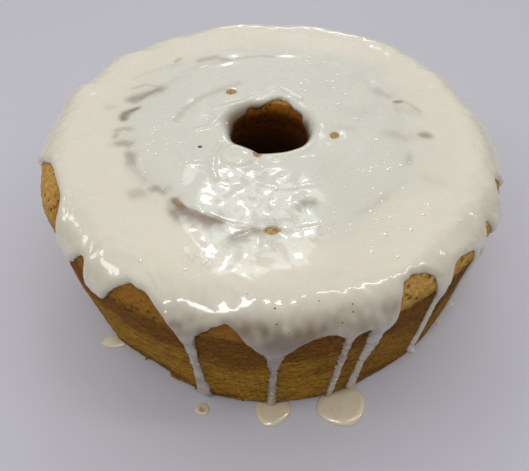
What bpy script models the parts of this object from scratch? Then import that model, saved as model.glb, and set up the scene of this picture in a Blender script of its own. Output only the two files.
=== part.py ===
"""A ring-shaped pound cake, whole, with a poured white icing that ran down its side.

The cake is a turned body with a hole through it, as baked in a plain tube pan: a side that flares
upwards to the pan line, a rounded shoulder above it and a flat top with a ring crack.  The icing is
one shell over the top, from a short way down the hole to a hem on the side, with bare patches
above the hem and drips below it.  The puddles are icing that ran off onto the surface below.

Metres, +Z up.  The origin is on the surface that the cake stands on, below the hole.  Azimuths are
in degrees, anticlockwise seen from above, and -90 is the front.
"""

import math
import random
from collections import namedtuple

import bmesh
import bpy
from mathutils import Vector

MM = 0.001
ARC_TO_CHORD = 1.11  # of a quarter circle

# Cake, bare
FOOT_RADIUS = 109.4 * MM
PAN_RADIUS = 117.2 * MM
PAN_LINE = 74.0 * MM
TOP_HEIGHT = 88.8 * MM
SHOULDER_REACH = 18.0 * MM
FOOT_EDGE = 4.0 * MM
HOLE_FOOT_RADIUS = 27.0 * MM
HOLE_RADIUS = 21.5 * MM
HOLE_EDGE = 2.0 * MM
LIP_REACH = 6.5 * MM
LIP_DROP = 7.0 * MM

# Broad waves that put the side out of round: waves in a turn, height, azimuth of a crest
SIDE_WAVES = (
    (1, 1.6 * MM, 125.0),
    (2, 0.4 * MM, 80.0),
    (4, 0.6 * MM, -20.0),
    (5, 0.5 * MM, -12.0),
)
WAVE_SHARE_AT_FOOT = 0.3
# Where the foot was knocked in: azimuth, depth, half width in degrees
FOOT_DENT = (-122.0, 3.0 * MM, 17.0)

# Relief of the top: the ring crack, the lower ground inside it and slow swells
CRACK_RADIUS = 71.0 * MM
CRACK_SWAY = 4.0 * MM
CRACK_DEPTH = 1.6 * MM
CRACK_HALF_WIDTH = 4.5 * MM
INNER_DROP = 1.4 * MM
SWELL = 0.5 * MM

# Icing shell: the gap below it, the height of its face above the crust, and its edges
ICING_GAP = 0.5 * MM
ROUND_GAP = 1.5 * MM
TOP_PROUD = 3.0 * MM
SHOULDER_PROUD = 2.9 * MM
BEAD_PROUD = 3.2 * MM
LIP_PROUD = 2.8 * MM
HOLE_PROUD = 2.2 * MM
EDGE_THICKNESS = 0.9 * MM
MOST_THICKNESS = 3.0 * MM
BEAD_INSET = 3.0 * MM
SLOPE_STEP = 0.2 * MM
HEM_HEIGHT = 74.3 * MM
HEM_SWAY = 0.8 * MM
RUN_IN = 7.0 * MM
TOP_RINGS = (46.0 * MM, 64.0 * MM, 71.0 * MM, 78.0 * MM)
WIDEST_STEP = 7.0
CLOSEST_STEP = 0.62
WIDE_PATCH = 7.0

# Tongues of icing that ran further down the hole: azimuth, half width in degrees, extra run
TONGUES = ((172.0, 62.0, 22.0 * MM), (-8.0, 56.0, 15.0 * MM), (-90.0, 40.0, 6.0 * MM))

# Bare patches above the hem: the azimuths of both ends and of the peak, the peak's height in mm,
# and a squareness from 1 (pointed) upwards
Patch = namedtuple("Patch", "left peak right top squareness")
PATCHES = [
    Patch(-173.0, -158.0, -143.8, 87.9, 4.0),
    Patch(-138.2, -133.9, -130.7, 83.2, 2.6),
    Patch(-126.0, -118.5, -108.6, 85.3, 2.3),
    Patch(-104.9, -99.0, -93.8, 82.7, 1.8),
    Patch(-84.5, -79.4, -76.0, 77.6, 2.0),
    Patch(-66.8, -59.5, -53.2, 86.7, 2.8),
    Patch(-51.2, -47.0, -41.4, 84.4, 2.6),
    Patch(-25.0, -20.5, -16.0, 84.0, 2.0),
]
PATCH_STATIONS = (0.0, 0.3, 0.7, 1.0)
WIDE_PATCH_STATIONS = (0.0, 0.09, 0.24, 0.5, 0.76, 0.91, 1.0)

# How a drip narrows below the hem and widens again below its neck, and where its rows lie
FUNNEL_POWER = 2.3
FOOT_POWER = 1.5
DRIP_ROWS = (0.08, 0.2, 0.34, 0.54, 0.76, 0.93, 1.0)
DRIP_SIDES = (-1.0, -0.4, 0.4, 1.0)
FOOT_TIP_SHARE = 0.72
FOOT_TIP_RISE = 0.3


class Drip:
    """A run of icing down the side, between a funnel at the hem and a rounded foot."""

    def __init__(self, azimuth, foot_azimuth, hem_width, neck_width, foot_width, neck, foot):
        self.azimuth = azimuth
        self.foot_azimuth = foot_azimuth
        self.hem_width = hem_width * MM
        self.neck_width = neck_width * MM
        self.foot_width = foot_width * MM
        self.neck = neck * MM
        self.foot = foot * MM

    def width(self, height):
        if height > self.neck:
            share = (min(height, HEM_HEIGHT) - self.neck) / (HEM_HEIGHT - self.neck)
            return self.neck_width + (self.hem_width - self.neck_width) * share**FUNNEL_POWER
        share = (self.neck - height) / (self.neck - self.foot)
        return self.neck_width + (self.foot_width - self.neck_width) * share**FOOT_POWER

    def centre(self, height):
        share = (HEM_HEIGHT - height) / (HEM_HEIGHT - self.foot)
        return self.azimuth + (self.foot_azimuth - self.azimuth) * share


# Azimuths at the hem and the foot, widths at the hem, neck and foot, heights of neck and foot, in mm
DRIPS = [
    Drip(-106.5, -107.0, 8.0, 4.8, 10.0, 52, 1.2),
    Drip(-89.0, -89.6, 19.0, 3.6, 4.6, 44, 2.4),
    Drip(-75.0, -74.9, 5.0, 3.4, 3.6, 58, 2.4),
    Drip(-69.6, -69.4, 7.4, 4.6, 4.8, 55, 4.5),
    Drip(-53.6, -50.9, 6.4, 4.2, 5.6, 60, 20),
    Drip(-43.0, -43.2, 4.4, 3.6, 3.8, 62, 2.0),
    Drip(-40.0, -40.2, 4.4, 3.8, 5.0, 62, 18),
    Drip(-37.0, -37.4, 5.0, 4.0, 5.4, 64, 33),
]

# Hidden side: patches and drips like those in front
HIDDEN_SEED = 7
HIDDEN_FIRST = -6.0
HIDDEN_LAST = 184.0
HIDDEN_COUNT = 6
HIDDEN_FEET = (1.4, 1.4, 12.0, 26.0, 38.0)

# Puddles: the centre, half length, half breadth and thickness in mm, and the turn in degrees
Puddle = namedtuple("Puddle", "x y half_length half_breadth thickness turn")
PUDDLES = {
    "puddle_front": Puddle(2.2, -112.2, 9.6, 9.0, 1.5, 0.0),
    "puddle_right": Puddle(37.8, -110.6, 12.6, 10.2, 1.5, 16.0),
    "puddle_left": Puddle(-83.6, -73.8, 8.2, 4.4, 1.2, 12.0),
    "puddle_drop": Puddle(-33.8, -112.4, 3.6, 3.2, 1.0, 0.0),
}
PUDDLE_SECTION = ((1.0, 0.0), (1.0, 0.3), (0.86, 0.78), (0.5, 1.0))
PUDDLE_WOBBLE = 0.05
PUDDLE_GAP = 0.5 * MM
PUDDLE_SPOKES = 18

CRUST_COLOUR = (0.42, 0.22, 0.06)
ICING_COLOUR = (0.72, 0.69, 0.6)

# How finely the cake is cut up: steps in a turn, and heights of rings in mm
CAKE_STEPS = 54
SIDE_RINGS = (60.0, 45.0, 30.0, 16.0)
HOLE_RINGS = (28.0, 54.0)
SHOULDER_PIECES = 5
LIP_PIECES = 3
FOOT_PIECES = 3


def turn_between(azimuth, other):
    """The angle from one azimuth to another, between -180 and 180."""
    return (azimuth - other + 180.0) % 360.0 - 180.0


def smooth(value):
    share = min(max(value, 0.0), 1.0)
    return share * share * (3.0 - 2.0 * share)


# The bare crust --------------------------------------------------------------------------------


def side_radius(height):
    return FOOT_RADIUS + (PAN_RADIUS - FOOT_RADIUS) * height / PAN_LINE


def hole_radius(height):
    lip_start = TOP_HEIGHT - LIP_DROP
    return HOLE_FOOT_RADIUS + (HOLE_RADIUS - HOLE_FOOT_RADIUS) * height / lip_start


def shoulder_section(share):
    """From the edge of the flat top (0) round the shoulder to the pan line (1)."""
    angle = share * math.pi / 2
    radius = PAN_RADIUS - SHOULDER_REACH + SHOULDER_REACH * math.sin(angle)
    return radius, PAN_LINE + (TOP_HEIGHT - PAN_LINE) * math.cos(angle)


def lip_section(share):
    """From the edge of the flat top (0) round the lip to the wall of the hole (1)."""
    angle = share * math.pi / 2
    radius = HOLE_RADIUS + LIP_REACH * (1.0 - math.sin(angle))
    return radius, TOP_HEIGHT - LIP_DROP * (1.0 - math.cos(angle))


SHOULDER_RUN = math.hypot(SHOULDER_REACH, TOP_HEIGHT - PAN_LINE) * ARC_TO_CHORD
LIP_RUN = math.hypot(LIP_REACH, LIP_DROP) * ARC_TO_CHORD


def outward_section(run):
    """Radius and height, a distance out and down from the outer edge of the flat top."""
    if run <= SHOULDER_RUN:
        return shoulder_section(run / SHOULDER_RUN)
    height = PAN_LINE - (run - SHOULDER_RUN)
    return side_radius(height), height


def inward_section(run):
    """Radius and height, a distance in and down from the inner edge of the flat top."""
    if run <= LIP_RUN:
        return lip_section(run / LIP_RUN)
    height = TOP_HEIGHT - LIP_DROP - (run - LIP_RUN)
    return hole_radius(height), height


def run_to_height(height):
    """How far down from the edge of the flat top the shoulder or the side has this height."""
    if height >= PAN_LINE:
        share = min((height - PAN_LINE) / (TOP_HEIGHT - PAN_LINE), 1.0)
        return SHOULDER_RUN * math.acos(share) / (math.pi / 2)
    return SHOULDER_RUN + PAN_LINE - height


def offset_section(section, run, gap, inward):
    """A section point moved a gap away from the crust."""
    radius, height = section(run)
    ahead_radius, ahead_height = section(run + SLOPE_STEP)
    slope = Vector((ahead_radius - radius, ahead_height - height)).normalized()
    normal = Vector((slope.y, -slope.x)) if inward else Vector((-slope.y, slope.x))
    return radius + gap * normal.x, height + gap * normal.y


def side_wave(azimuth, height):
    wave = sum(
        size * math.cos(waves * math.radians(azimuth - crest))
        for waves, size, crest in SIDE_WAVES
    )
    return wave * (WAVE_SHARE_AT_FOOT + (1.0 - WAVE_SHARE_AT_FOOT) * min(height / PAN_LINE, 1.0))


def foot_dent(azimuth, height):
    where, depth, half_width = FOOT_DENT
    across = 1.0 - abs(turn_between(azimuth, where)) / half_width
    return depth * smooth(across) * smooth(1.0 - height / PAN_LINE)


def crack_radius(azimuth):
    angle = math.radians(azimuth)
    return CRACK_RADIUS + CRACK_SWAY * math.sin(2.0 * angle + 0.6) * math.cos(angle - 2.4)


def top_relief(azimuth, radius):
    """Rise of the crust's top above the flat."""
    angle = math.radians(azimuth)
    crack = crack_radius(azimuth)
    off_crack = (radius - crack) / CRACK_HALF_WIDTH
    depth = CRACK_DEPTH * (0.75 + 0.25 * math.sin(3.0 * angle + 1.0))
    fall = INNER_DROP * smooth((crack - radius) / (crack - HOLE_RADIUS))
    swell = SWELL * (math.sin(2.0 * angle + 0.8) + math.sin(5.0 * angle + 40.0 * radius))
    inner_fade = smooth((radius - HOLE_RADIUS) / LIP_REACH)
    outer_fade = smooth((PAN_RADIUS - radius) / SHOULDER_REACH)
    return (swell - fall - depth * math.exp(-off_crack * off_crack)) * inner_fade * outer_fade


def crust_point(azimuth, radius, height):
    """The place on the real, uneven cake of a point of the turned section."""
    outwards = (radius - HOLE_RADIUS) / (PAN_RADIUS - HOLE_RADIUS)
    uneven = radius + side_wave(azimuth, height) * smooth(outwards)
    uneven -= foot_dent(azimuth, height) * outwards
    rise = top_relief(azimuth, radius) if height > PAN_LINE else 0.0
    angle = math.radians(azimuth)
    return Vector((uneven * math.cos(angle), uneven * math.sin(angle), height + rise))


# The hem ---------------------------------------------------------------------------------------


def add_hidden_side():
    """Adds the patches and drips of the side away from the front, drawn from a fixed seed."""
    draw = random.Random(HIDDEN_SEED)
    pitch = (HIDDEN_LAST - HIDDEN_FIRST) / HIDDEN_COUNT
    for number in range(HIDDEN_COUNT):
        left = HIDDEN_FIRST + pitch * (number + draw.uniform(0.0, 0.12))
        right = left + pitch * draw.uniform(0.36, 0.6)
        peak = left + (right - left) * draw.uniform(0.4, 0.6)
        PATCHES.append(Patch(left, peak, right, draw.uniform(80.0, 88.0), draw.uniform(1.8, 3.0)))
        azimuth = right + (left + pitch - right) * draw.uniform(0.4, 0.6)
        width = draw.uniform(3.8, 5.4)
        hem_width = width * draw.uniform(1.3, 1.8)
        neck = draw.uniform(48.0, 62.0)
        foot = draw.choice(HIDDEN_FEET)
        foot_azimuth = azimuth + draw.uniform(-1.0, 1.0)
        DRIPS.append(Drip(azimuth, foot_azimuth, hem_width, width, width * 1.1, neck, foot))


def patch_rise(azimuth, patch):
    """How far up its full height a patch reaches here, from 0 to 1."""
    from_peak = turn_between(azimuth, patch.peak)
    half = patch.peak - patch.left if from_peak < 0 else patch.right - patch.peak
    return max(0.0, 1.0 - (abs(from_peak) / half) ** patch.squareness)


def hem_height(azimuth):
    angle = math.radians(azimuth)
    height = HEM_HEIGHT + HEM_SWAY * math.sin(7.0 * angle + 1.0)
    for patch in PATCHES:
        height += (patch.top * MM - height) * patch_rise(azimuth, patch)
    return height


def inner_run(azimuth):
    """How far the icing runs over the lip and down the hole."""
    run = RUN_IN + 1.0 * MM * math.sin(5.0 * math.radians(azimuth))
    for where, half_width, extra in TONGUES:
        run += extra * smooth(1.0 - abs(turn_between(azimuth, where)) / half_width)
    return run


def drip_azimuths(drip):
    """The four azimuths at the hem between which a drip leaves it."""
    half = math.degrees(drip.hem_width / 2 / PAN_RADIUS)
    return [turn_between(drip.azimuth + half * side, 0.0) for side in DRIP_SIDES]


def stations():
    """Azimuths of the shell's columns: on each drip and patch, and evenly between them."""
    kept = [azimuth for drip in DRIPS for azimuth in drip_azimuths(drip)]
    for patch in PATCHES:
        width = patch.right - patch.left
        for share in WIDE_PATCH_STATIONS if width > WIDE_PATCH else PATCH_STATIONS:
            azimuth = turn_between(patch.left + width * share, 0.0)
            if min(abs(turn_between(azimuth, other)) for other in kept) > CLOSEST_STEP:
                kept.append(azimuth)
    kept.sort()
    spaced = []
    for here, after in zip(kept, kept[1:] + [kept[0] + 360.0]):
        pieces = math.ceil((after - here) / WIDEST_STEP)
        spaced += [here + (after - here) * piece / pieces for piece in range(pieces)]
    return spaced


# Objects ---------------------------------------------------------------------------------------


def clear_scene():
    for thing in list(bpy.data.objects):
        bpy.data.objects.remove(thing)


def new_collection(name):
    collection = bpy.data.collections.new(name)
    bpy.context.scene.collection.children.link(collection)
    return collection


def make_material(name, colour, roughness, coat=0.0):
    material = bpy.data.materials.new(name)
    material.use_nodes = True
    shader = material.node_tree.nodes["Principled BSDF"]
    shader.inputs["Base Color"].default_value = (*colour, 1.0)
    shader.inputs["Roughness"].default_value = roughness
    shader.inputs["Coat Weight"].default_value = coat
    return material


def turned_mesh(name, profile, steps):
    """The mesh of a closed profile turned once round Z by a Screw modifier."""
    outline = bpy.data.meshes.new(name)
    edges = [(i, (i + 1) % len(profile)) for i in range(len(profile))]
    outline.from_pydata([(radius, 0.0, height) for radius, height in profile], edges, [])
    guide = bpy.data.objects.new(name, outline)
    bpy.context.scene.collection.objects.link(guide)
    screw = guide.modifiers.new("Turn", "SCREW")
    screw.steps = steps
    screw.render_steps = steps
    screw.use_merge_vertices = True
    screw.merge_threshold = 0.01 * MM
    graph = bpy.context.evaluated_depsgraph_get()
    mesh = bpy.data.meshes.new_from_object(guide.evaluated_get(graph))
    bpy.data.objects.remove(guide)
    bpy.data.meshes.remove(outline)
    return mesh


def azimuth_of(point):
    return math.degrees(math.atan2(point.y, point.x))


def cake_profile():
    """The cake's section, from the flat top's outer edge down the side and back up the hole."""
    profile = [shoulder_section(piece / SHOULDER_PIECES) for piece in range(SHOULDER_PIECES + 1)]
    profile += [(side_radius(height * MM), height * MM) for height in SIDE_RINGS]
    for piece in range(FOOT_PIECES + 1):
        angle = piece / FOOT_PIECES * math.pi / 2
        radius = side_radius(FOOT_EDGE) - FOOT_EDGE * (1.0 - math.cos(angle))
        profile.append((radius, FOOT_EDGE * (1.0 - math.sin(angle))))
    profile.append((HOLE_FOOT_RADIUS + HOLE_EDGE, 0.0))
    profile.append((hole_radius(HOLE_EDGE), HOLE_EDGE))
    profile += [(hole_radius(height * MM), height * MM) for height in HOLE_RINGS]
    profile += [lip_section(1.0 - piece / LIP_PIECES) for piece in range(LIP_PIECES + 1)]
    profile += [(radius, TOP_HEIGHT) for radius in TOP_RINGS]
    return profile


def make_cake(collection, material):
    mesh = turned_mesh("cake", cake_profile(), CAKE_STEPS)
    for vertex in mesh.vertices:
        radius = math.hypot(vertex.co.x, vertex.co.y)
        vertex.co = crust_point(azimuth_of(vertex.co), radius, vertex.co.z)
    mesh.shade_smooth()
    mesh.materials.append(material)
    collection.objects.link(bpy.data.objects.new("cake", mesh))


def column_rows(azimuth):
    """One column of the shell from inside the hole to the hem: section points and thicknesses."""
    run_in = inner_run(azimuth)
    lip_end = min(0.72 * LIP_RUN, 0.6 * run_in)
    rows = [
        (offset_section(inward_section, run, ROUND_GAP, True), thickness)
        for run, thickness in (
            (run_in, EDGE_THICKNESS),
            (lip_end + 0.6 * (run_in - lip_end), HOLE_PROUD - ROUND_GAP),
            (lip_end, HOLE_PROUD - ROUND_GAP),
            (0.5 * lip_end, LIP_PROUD - ROUND_GAP),
        )
    ]
    flat_rings = (HOLE_RADIUS + LIP_REACH, *TOP_RINGS, PAN_RADIUS - SHOULDER_REACH)
    rows += [((radius, TOP_HEIGHT + ICING_GAP), TOP_PROUD - ICING_GAP) for radius in flat_rings]
    run_out = run_to_height(hem_height(azimuth))
    bead = run_out - BEAD_INSET
    for run, proud in ((0.36 * bead, SHOULDER_PROUD), (0.7 * bead, SHOULDER_PROUD), (bead, BEAD_PROUD)):
        rows.append((offset_section(outward_section, run, ROUND_GAP, False), proud - ROUND_GAP))
    hem_gap = ICING_GAP if run_out > SHOULDER_RUN else ROUND_GAP
    rows.append((offset_section(outward_section, run_out, hem_gap, False), EDGE_THICKNESS))
    return rows


def lay_curtain(mesh, weights, group):
    """Lays a flat grid over the top of the cake.  Returns the hem's vertices by column azimuth."""
    columns = stations()
    laid = [column_rows(azimuth) for azimuth in columns]
    laid.append(laid[0])
    across = len(columns)
    down = len(laid[0]) - 1
    grid = bmesh.ops.create_grid(mesh, x_segments=across, y_segments=down, size=1.0)
    hem = {}
    for vertex in grid["verts"]:
        column = round((vertex.co.x + 1.0) / 2.0 * across)
        row = round((1.0 - vertex.co.y) / 2.0 * down)
        azimuth = columns[column % across]
        (radius, height), thickness = laid[column][row]
        vertex.co = crust_point(azimuth, radius, height)
        vertex[weights][group] = thickness / MOST_THICKNESS
        if row == down and column < across:
            hem[azimuth] = vertex
    return hem


def run_drip(mesh, weights, group, hem, drip):
    """Draws the hem down into one drip, four vertices wide."""
    top = [hem[azimuth] for azimuth in drip_azimuths(drip)]
    for vertex in top[1:-1]:
        vertex[weights][group] = (BEAD_PROUD - ROUND_GAP) / MOST_THICKNESS
    starts = [vertex.co.z for vertex in top]
    for share in DRIP_ROWS:
        edges = [mesh.edges.get(pair) for pair in zip(top, top[1:])]
        made = bmesh.ops.extrude_edge_only(mesh, edges=edges)["geom"]
        fresh = [item for item in made if isinstance(item, bmesh.types.BMVert)]
        lower = sorted(fresh, key=lambda vertex: turn_between(azimuth_of(vertex.co), drip.azimuth))
        tip = share == DRIP_ROWS[-1]
        for vertex, start, side in zip(lower, starts, DRIP_SIDES):
            edge = abs(side) == 1.0
            height = start + (drip.foot - start) * share
            height += FOOT_TIP_RISE * drip.foot_width if tip and edge else 0.0
            width = drip.width(height) * (FOOT_TIP_SHARE if tip else 1.0)
            radius = side_radius(height) + ICING_GAP
            azimuth = drip.centre(height) + math.degrees(side * width / 2 / radius)
            vertex.co = crust_point(azimuth, radius, height)
            thickness = EDGE_THICKNESS if edge or tip else MOST_THICKNESS
            vertex[weights][group] = thickness / MOST_THICKNESS
        top = lower


def make_icing(collection, material):
    shape = bpy.data.meshes.new("icing")
    icing = bpy.data.objects.new("icing", shape)
    group = icing.vertex_groups.new(name="thickness").index
    mesh = bmesh.new()
    weights = mesh.verts.layers.deform.verify()
    hem = lay_curtain(mesh, weights, group)
    bmesh.ops.remove_doubles(mesh, verts=mesh.verts, dist=0.001 * MM)
    for drip in DRIPS:
        run_drip(mesh, weights, group, hem, drip)
    bmesh.ops.recalc_face_normals(mesh, faces=mesh.faces)
    highest = max(mesh.faces, key=lambda face: face.calc_center_median().z)
    if highest.normal.z < 0:
        bmesh.ops.reverse_faces(mesh, faces=mesh.faces)
    mesh.to_mesh(shape)
    mesh.free()
    shell = icing.modifiers.new("Thickness", "SOLIDIFY")
    shell.thickness = MOST_THICKNESS
    shell.offset = 1.0
    shell.vertex_group = "thickness"
    shape.shade_smooth()
    shape.materials.append(material)
    collection.objects.link(icing)


def clear_of_cake(x, y):
    """How far a point on the ground is outside the cake's foot."""
    azimuth = math.degrees(math.atan2(y, x))
    foot = crust_point(azimuth, side_radius(FOOT_EDGE), FOOT_EDGE)
    return math.hypot(x, y) - foot.to_2d().length


def puddle_reach(puddle, direction):
    """How far a puddle spreads from its centre: over its oval, or to just short of the cake."""
    local = direction - math.radians(puddle.turn)
    oval = math.hypot(math.cos(local) / puddle.half_length, math.sin(local) / puddle.half_breadth)
    reach = (1.0 + PUDDLE_WOBBLE * math.sin(3.0 * direction + puddle.x)) / oval * MM
    x, y = puddle.x * MM, puddle.y * MM
    while clear_of_cake(x + reach * math.cos(direction), y + reach * math.sin(direction)) < PUDDLE_GAP:
        reach -= 0.1 * MM
    return reach


def ring_edges(ring):
    inside = set(ring)
    return [edge for vertex in ring for edge in vertex.link_edges if edge.other_vert(vertex) in inside]


def make_puddle(collection, material, name, puddle):
    """A low round cushion, flat below, with its outline pulled to the puddle's."""
    mesh = bmesh.new()
    rings = []
    for share, rise in PUDDLE_SECTION:
        ring = bmesh.ops.create_circle(mesh, segments=PUDDLE_SPOKES, radius=1.0)["verts"]
        for vertex in ring:
            direction = math.atan2(vertex.co.y, vertex.co.x)
            reach = puddle_reach(puddle, direction) * share
            x = puddle.x * MM + reach * math.cos(direction)
            y = puddle.y * MM + reach * math.sin(direction)
            vertex.co = Vector((x, y, puddle.thickness * MM * rise))
        rings.append(ring)
    for lower, upper in zip(rings, rings[1:]):
        bmesh.ops.bridge_loops(mesh, edges=list(set(ring_edges(lower) + ring_edges(upper))))
    mesh.faces.new(rings[0])
    mesh.faces.new(rings[-1])
    bmesh.ops.recalc_face_normals(mesh, faces=mesh.faces)
    shape = bpy.data.meshes.new(name)
    mesh.to_mesh(shape)
    mesh.free()
    shape.shade_smooth()
    shape.materials.append(material)
    collection.objects.link(bpy.data.objects.new(name, shape))


def main():
    clear_scene()
    collection = new_collection("pound_cake")
    crust = make_material("golden_crust", CRUST_COLOUR, roughness=0.8)
    icing = make_material("white_icing", ICING_COLOUR, roughness=0.25, coat=0.6)
    add_hidden_side()
    make_cake(collection, crust)
    make_icing(collection, icing)
    for name, puddle in PUDDLES.items():
        make_puddle(collection, icing, name, puddle)


main()
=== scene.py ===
import math
import random
from collections import namedtuple

import bmesh
import bpy
import numpy as np
from bpy.props import FloatProperty, FloatVectorProperty, IntProperty, PointerProperty
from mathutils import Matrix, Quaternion, Vector
from mathutils.bvhtree import BVHTree
from mathutils.geometry import delaunay_2d_cdt
from mathutils.kdtree import KDTree


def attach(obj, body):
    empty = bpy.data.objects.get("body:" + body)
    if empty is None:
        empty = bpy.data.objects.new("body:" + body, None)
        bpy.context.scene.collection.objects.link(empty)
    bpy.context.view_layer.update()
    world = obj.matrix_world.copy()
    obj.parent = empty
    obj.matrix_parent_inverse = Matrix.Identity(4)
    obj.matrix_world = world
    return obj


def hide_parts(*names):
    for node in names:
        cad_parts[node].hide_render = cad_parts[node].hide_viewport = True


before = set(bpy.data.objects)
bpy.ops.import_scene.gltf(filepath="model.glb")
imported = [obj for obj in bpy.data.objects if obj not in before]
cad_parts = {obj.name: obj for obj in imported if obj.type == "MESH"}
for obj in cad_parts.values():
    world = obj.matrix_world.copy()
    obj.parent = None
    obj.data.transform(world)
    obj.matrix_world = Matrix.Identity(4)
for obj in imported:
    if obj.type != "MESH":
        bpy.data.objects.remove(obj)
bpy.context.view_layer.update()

bl_info = {
    "name": "Iced pound cake",
    "version": (1, 0, 0),
    "blender": (4, 5, 0),
    "location": "View3D > Sidebar > Cake",
    "description": "A ring-shaped pound cake with poured icing, drips and puddles",
    "category": "Add Mesh",
}

MM = 0.001


def rows(kind, *table):
    """A table's rows with named columns."""
    return [kind(*row) for row in table]


# Depths beyond this count as this
FAR = 20 * MM
# How much longer the curves of shoulder and lip are than their chords
ARC_TO_CHORD = 1.11
# The azimuth that faces the camera
FRONT = -90

# Broad waves that put the side out of round: waves in a turn, height, azimuth of a crest
SIDE_WAVES = (
    (1, 1.6 * MM, 125),
    (2, 0.4 * MM, 80),
    (4, 0.6 * MM, -20),
    (5, 0.5 * MM, -12),
)
WAVE_SHARE_AT_FOOT = 0.3
# Where the side bulges: azimuth, how far out at the foot and under the icing, half width in degrees
SIDE_BULGES = (
    (-38, 2.7 * MM, 1.3 * MM, 24),
    (-24, 0, 0.9 * MM, 13),
)
# Thicker or thinner places of the curtain: azimuth, by how much, half width, lowest height in mm
LUMPS = (
    (-38, -1.1 * MM, 23, -20),
    (25, 1.2 * MM, 10, 76),
    (48, 1.45 * MM, 20, 76),
    (75, 0.9 * MM, 14, 76),
    (103, 1.45 * MM, 17, 76),
    (125, 0.7 * MM, 9, 76),
    (143, 2.1 * MM, 11, 76),
    (163.5, 2.3 * MM, 8.5, 76),
)
# Where the side stands more upright, and where the foot is knocked in: azimuth, how far, half width
UPRIGHT = (-142, 2.4 * MM, 18)
FOOT_DENT = (-122, 3 * MM, 17)
# Height and reach in mm over which both change; the share by which the upright part's foot moves out
UPRIGHT_ABOVE, BULGE_CHANGES = (45, 30), (32, 32)
OUT_AT_FOOT = 0.4

# The ring-shaped crack in the top; its half width is in mm
CRACK_RADIUS = 71 * MM
CRACK_SWAY = 4 * MM
CRACK_DEPTH = 1.6 * MM
CRACK_HALF_WIDTH = 4.5
# How much the top lies lower inside the crack, and how high its broad swells are
INNER_DROP = 1.4 * MM
SWELL = 0.5 * MM

HEM_SWAY = 0.8 * MM
# Where icing ran further into the hole: azimuth, half width, how much further
TONGUES = (
    (165, 48, 24 * MM),
    (-8, 50, 15 * MM),
    (-90, 40, 6 * MM),
    (80, 30, -6 * MM),
)

# Bare patches that rise into the hem: azimuths, height of the peak in mm, power of the outline
Patch = namedtuple("Patch", "left peak right top squareness")
PATCHES = rows(
    Patch,
    (-173, -158, -144.6, 87.4, 4),
    (-138.2, -133.7, -131.4, 82.6, 2),
    (-126, -118.8, -108.6, 84.9, 2.3),
    (-104.7, -98.7, -94.4, 81.9, 1.7),
    (-84.5, -79.4, -76, 77.2, 2),
    (-64.6, -59.2, -51.5, 85.5, 3),
    (-50, -46.3, -37.2, 82, 2.6),
    (-35.6, -33, -30.6, 83.5, 2),
    (-25.5, -20, -14.5, 85, 2.2),
)

# Drips: azimuths at hem and foot, widths at hem, neck and foot and heights of neck and foot in mm
Drip = namedtuple("Drip", "azimuth foot_azimuth hem_width neck_width foot_width neck foot")
DRIPS = rows(
    Drip,
    (-106.5, -107.4, 8, 4.2, 8.8, 50, 0.4),
    (-89.3, -89.6, 19, 3.6, 4.6, 44, 0.4),
    (-74.4, -74.2, 5, 3.6, 3.8, 58, 0.4),
    (-68.6, -68.2, 7, 4.2, 4.8, 55, 4.5),
    (-66.3, -67.8, 8.4, 5.2, 3.6, 62, 42),
    (-52, -49, 5.4, 3.4, 4.6, 66, 9),
    (-39.6, -39.4, 3.6, 2.6, 4, 62, 16),
    (-36.8, -37.2, 4.2, 2.8, 4.8, 64, 28),
)
# Powers by which a drip widens from its neck up to the hem and down to its foot
FUNNEL_POWER = 2.3
FOOT_POWER = 2
# Beads hang from drips that end higher and are broader than this in mm; their share of the breadth
BEAD_LOWEST, BEAD_NARROWEST, BEAD_SHARE = 2, 3.7, 0.42
FOOT_BEAD = 1.9 * MM
DRIP_FILLET = 1.2 * MM
# The icing is thinner by this share in the hole, and thicker by this over its front lip
THINNER_IN_HOLE, LIP_BULGE = 0.62, 1.9 * MM

# The side that the photo doesn't show: seed, first and last azimuth, patches, heights of drips' feet
HIDDEN_SEED = 7
HIDDEN_FIRST = -6
HIDDEN_LAST = 184
HIDDEN_COUNT = 6
HIDDEN_FEET = (1.4, 1.4, 12, 26, 38)

# Puddles: middle, half lengths and thickness in mm, turn in degrees
Puddle = namedtuple("Puddle", "x y half_length half_breadth thickness turn")
PUDDLES = {
    "puddle_front": Puddle(1.3, -112.2, 9, 9.1, 1.5, 0),
    "puddle_right": Puddle(36.4, -110.6, 12.9, 10.3, 1.5, 16),
    "puddle_left": Puddle(-83.6, -73.8, 8.2, 4.4, 1.2, 12),
    "puddle_drop": Puddle(-33.8, -112.4, 3.6, 3.2, 1, 0),
}
PUDDLE_WOBBLE = 0.05
# Gap to the cake, and the steps by which an outline draws back to it
PUDDLE_GAP = 0.3 * MM
PUDDLE_STEP = 0.25 * MM

# Places where the crust lies bare: radius, azimuth, half length along the ring, half breadth
# across it, strength
Spot = namedtuple("Spot", "radius azimuth along across strength")
BARE_SPOTS = rows(
    Spot,
    (38.1, 124, 3.9, 2.9, 1),
    (33.7, -13.4, 3.2, 3, 1),
    (24.6, -105.1, 3, 2.4, 1),
    (73.1, -89.8, 5.4, 4.6, 0.80),
    (69.8, -124.8, 4.2, 3.4, 0.55),
)
BARE_DEPTH = 0.5 * MM
# The last of them stands up as a crag
CRAG, CRAG_HEIGHT = 4, 0.9 * MM
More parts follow.
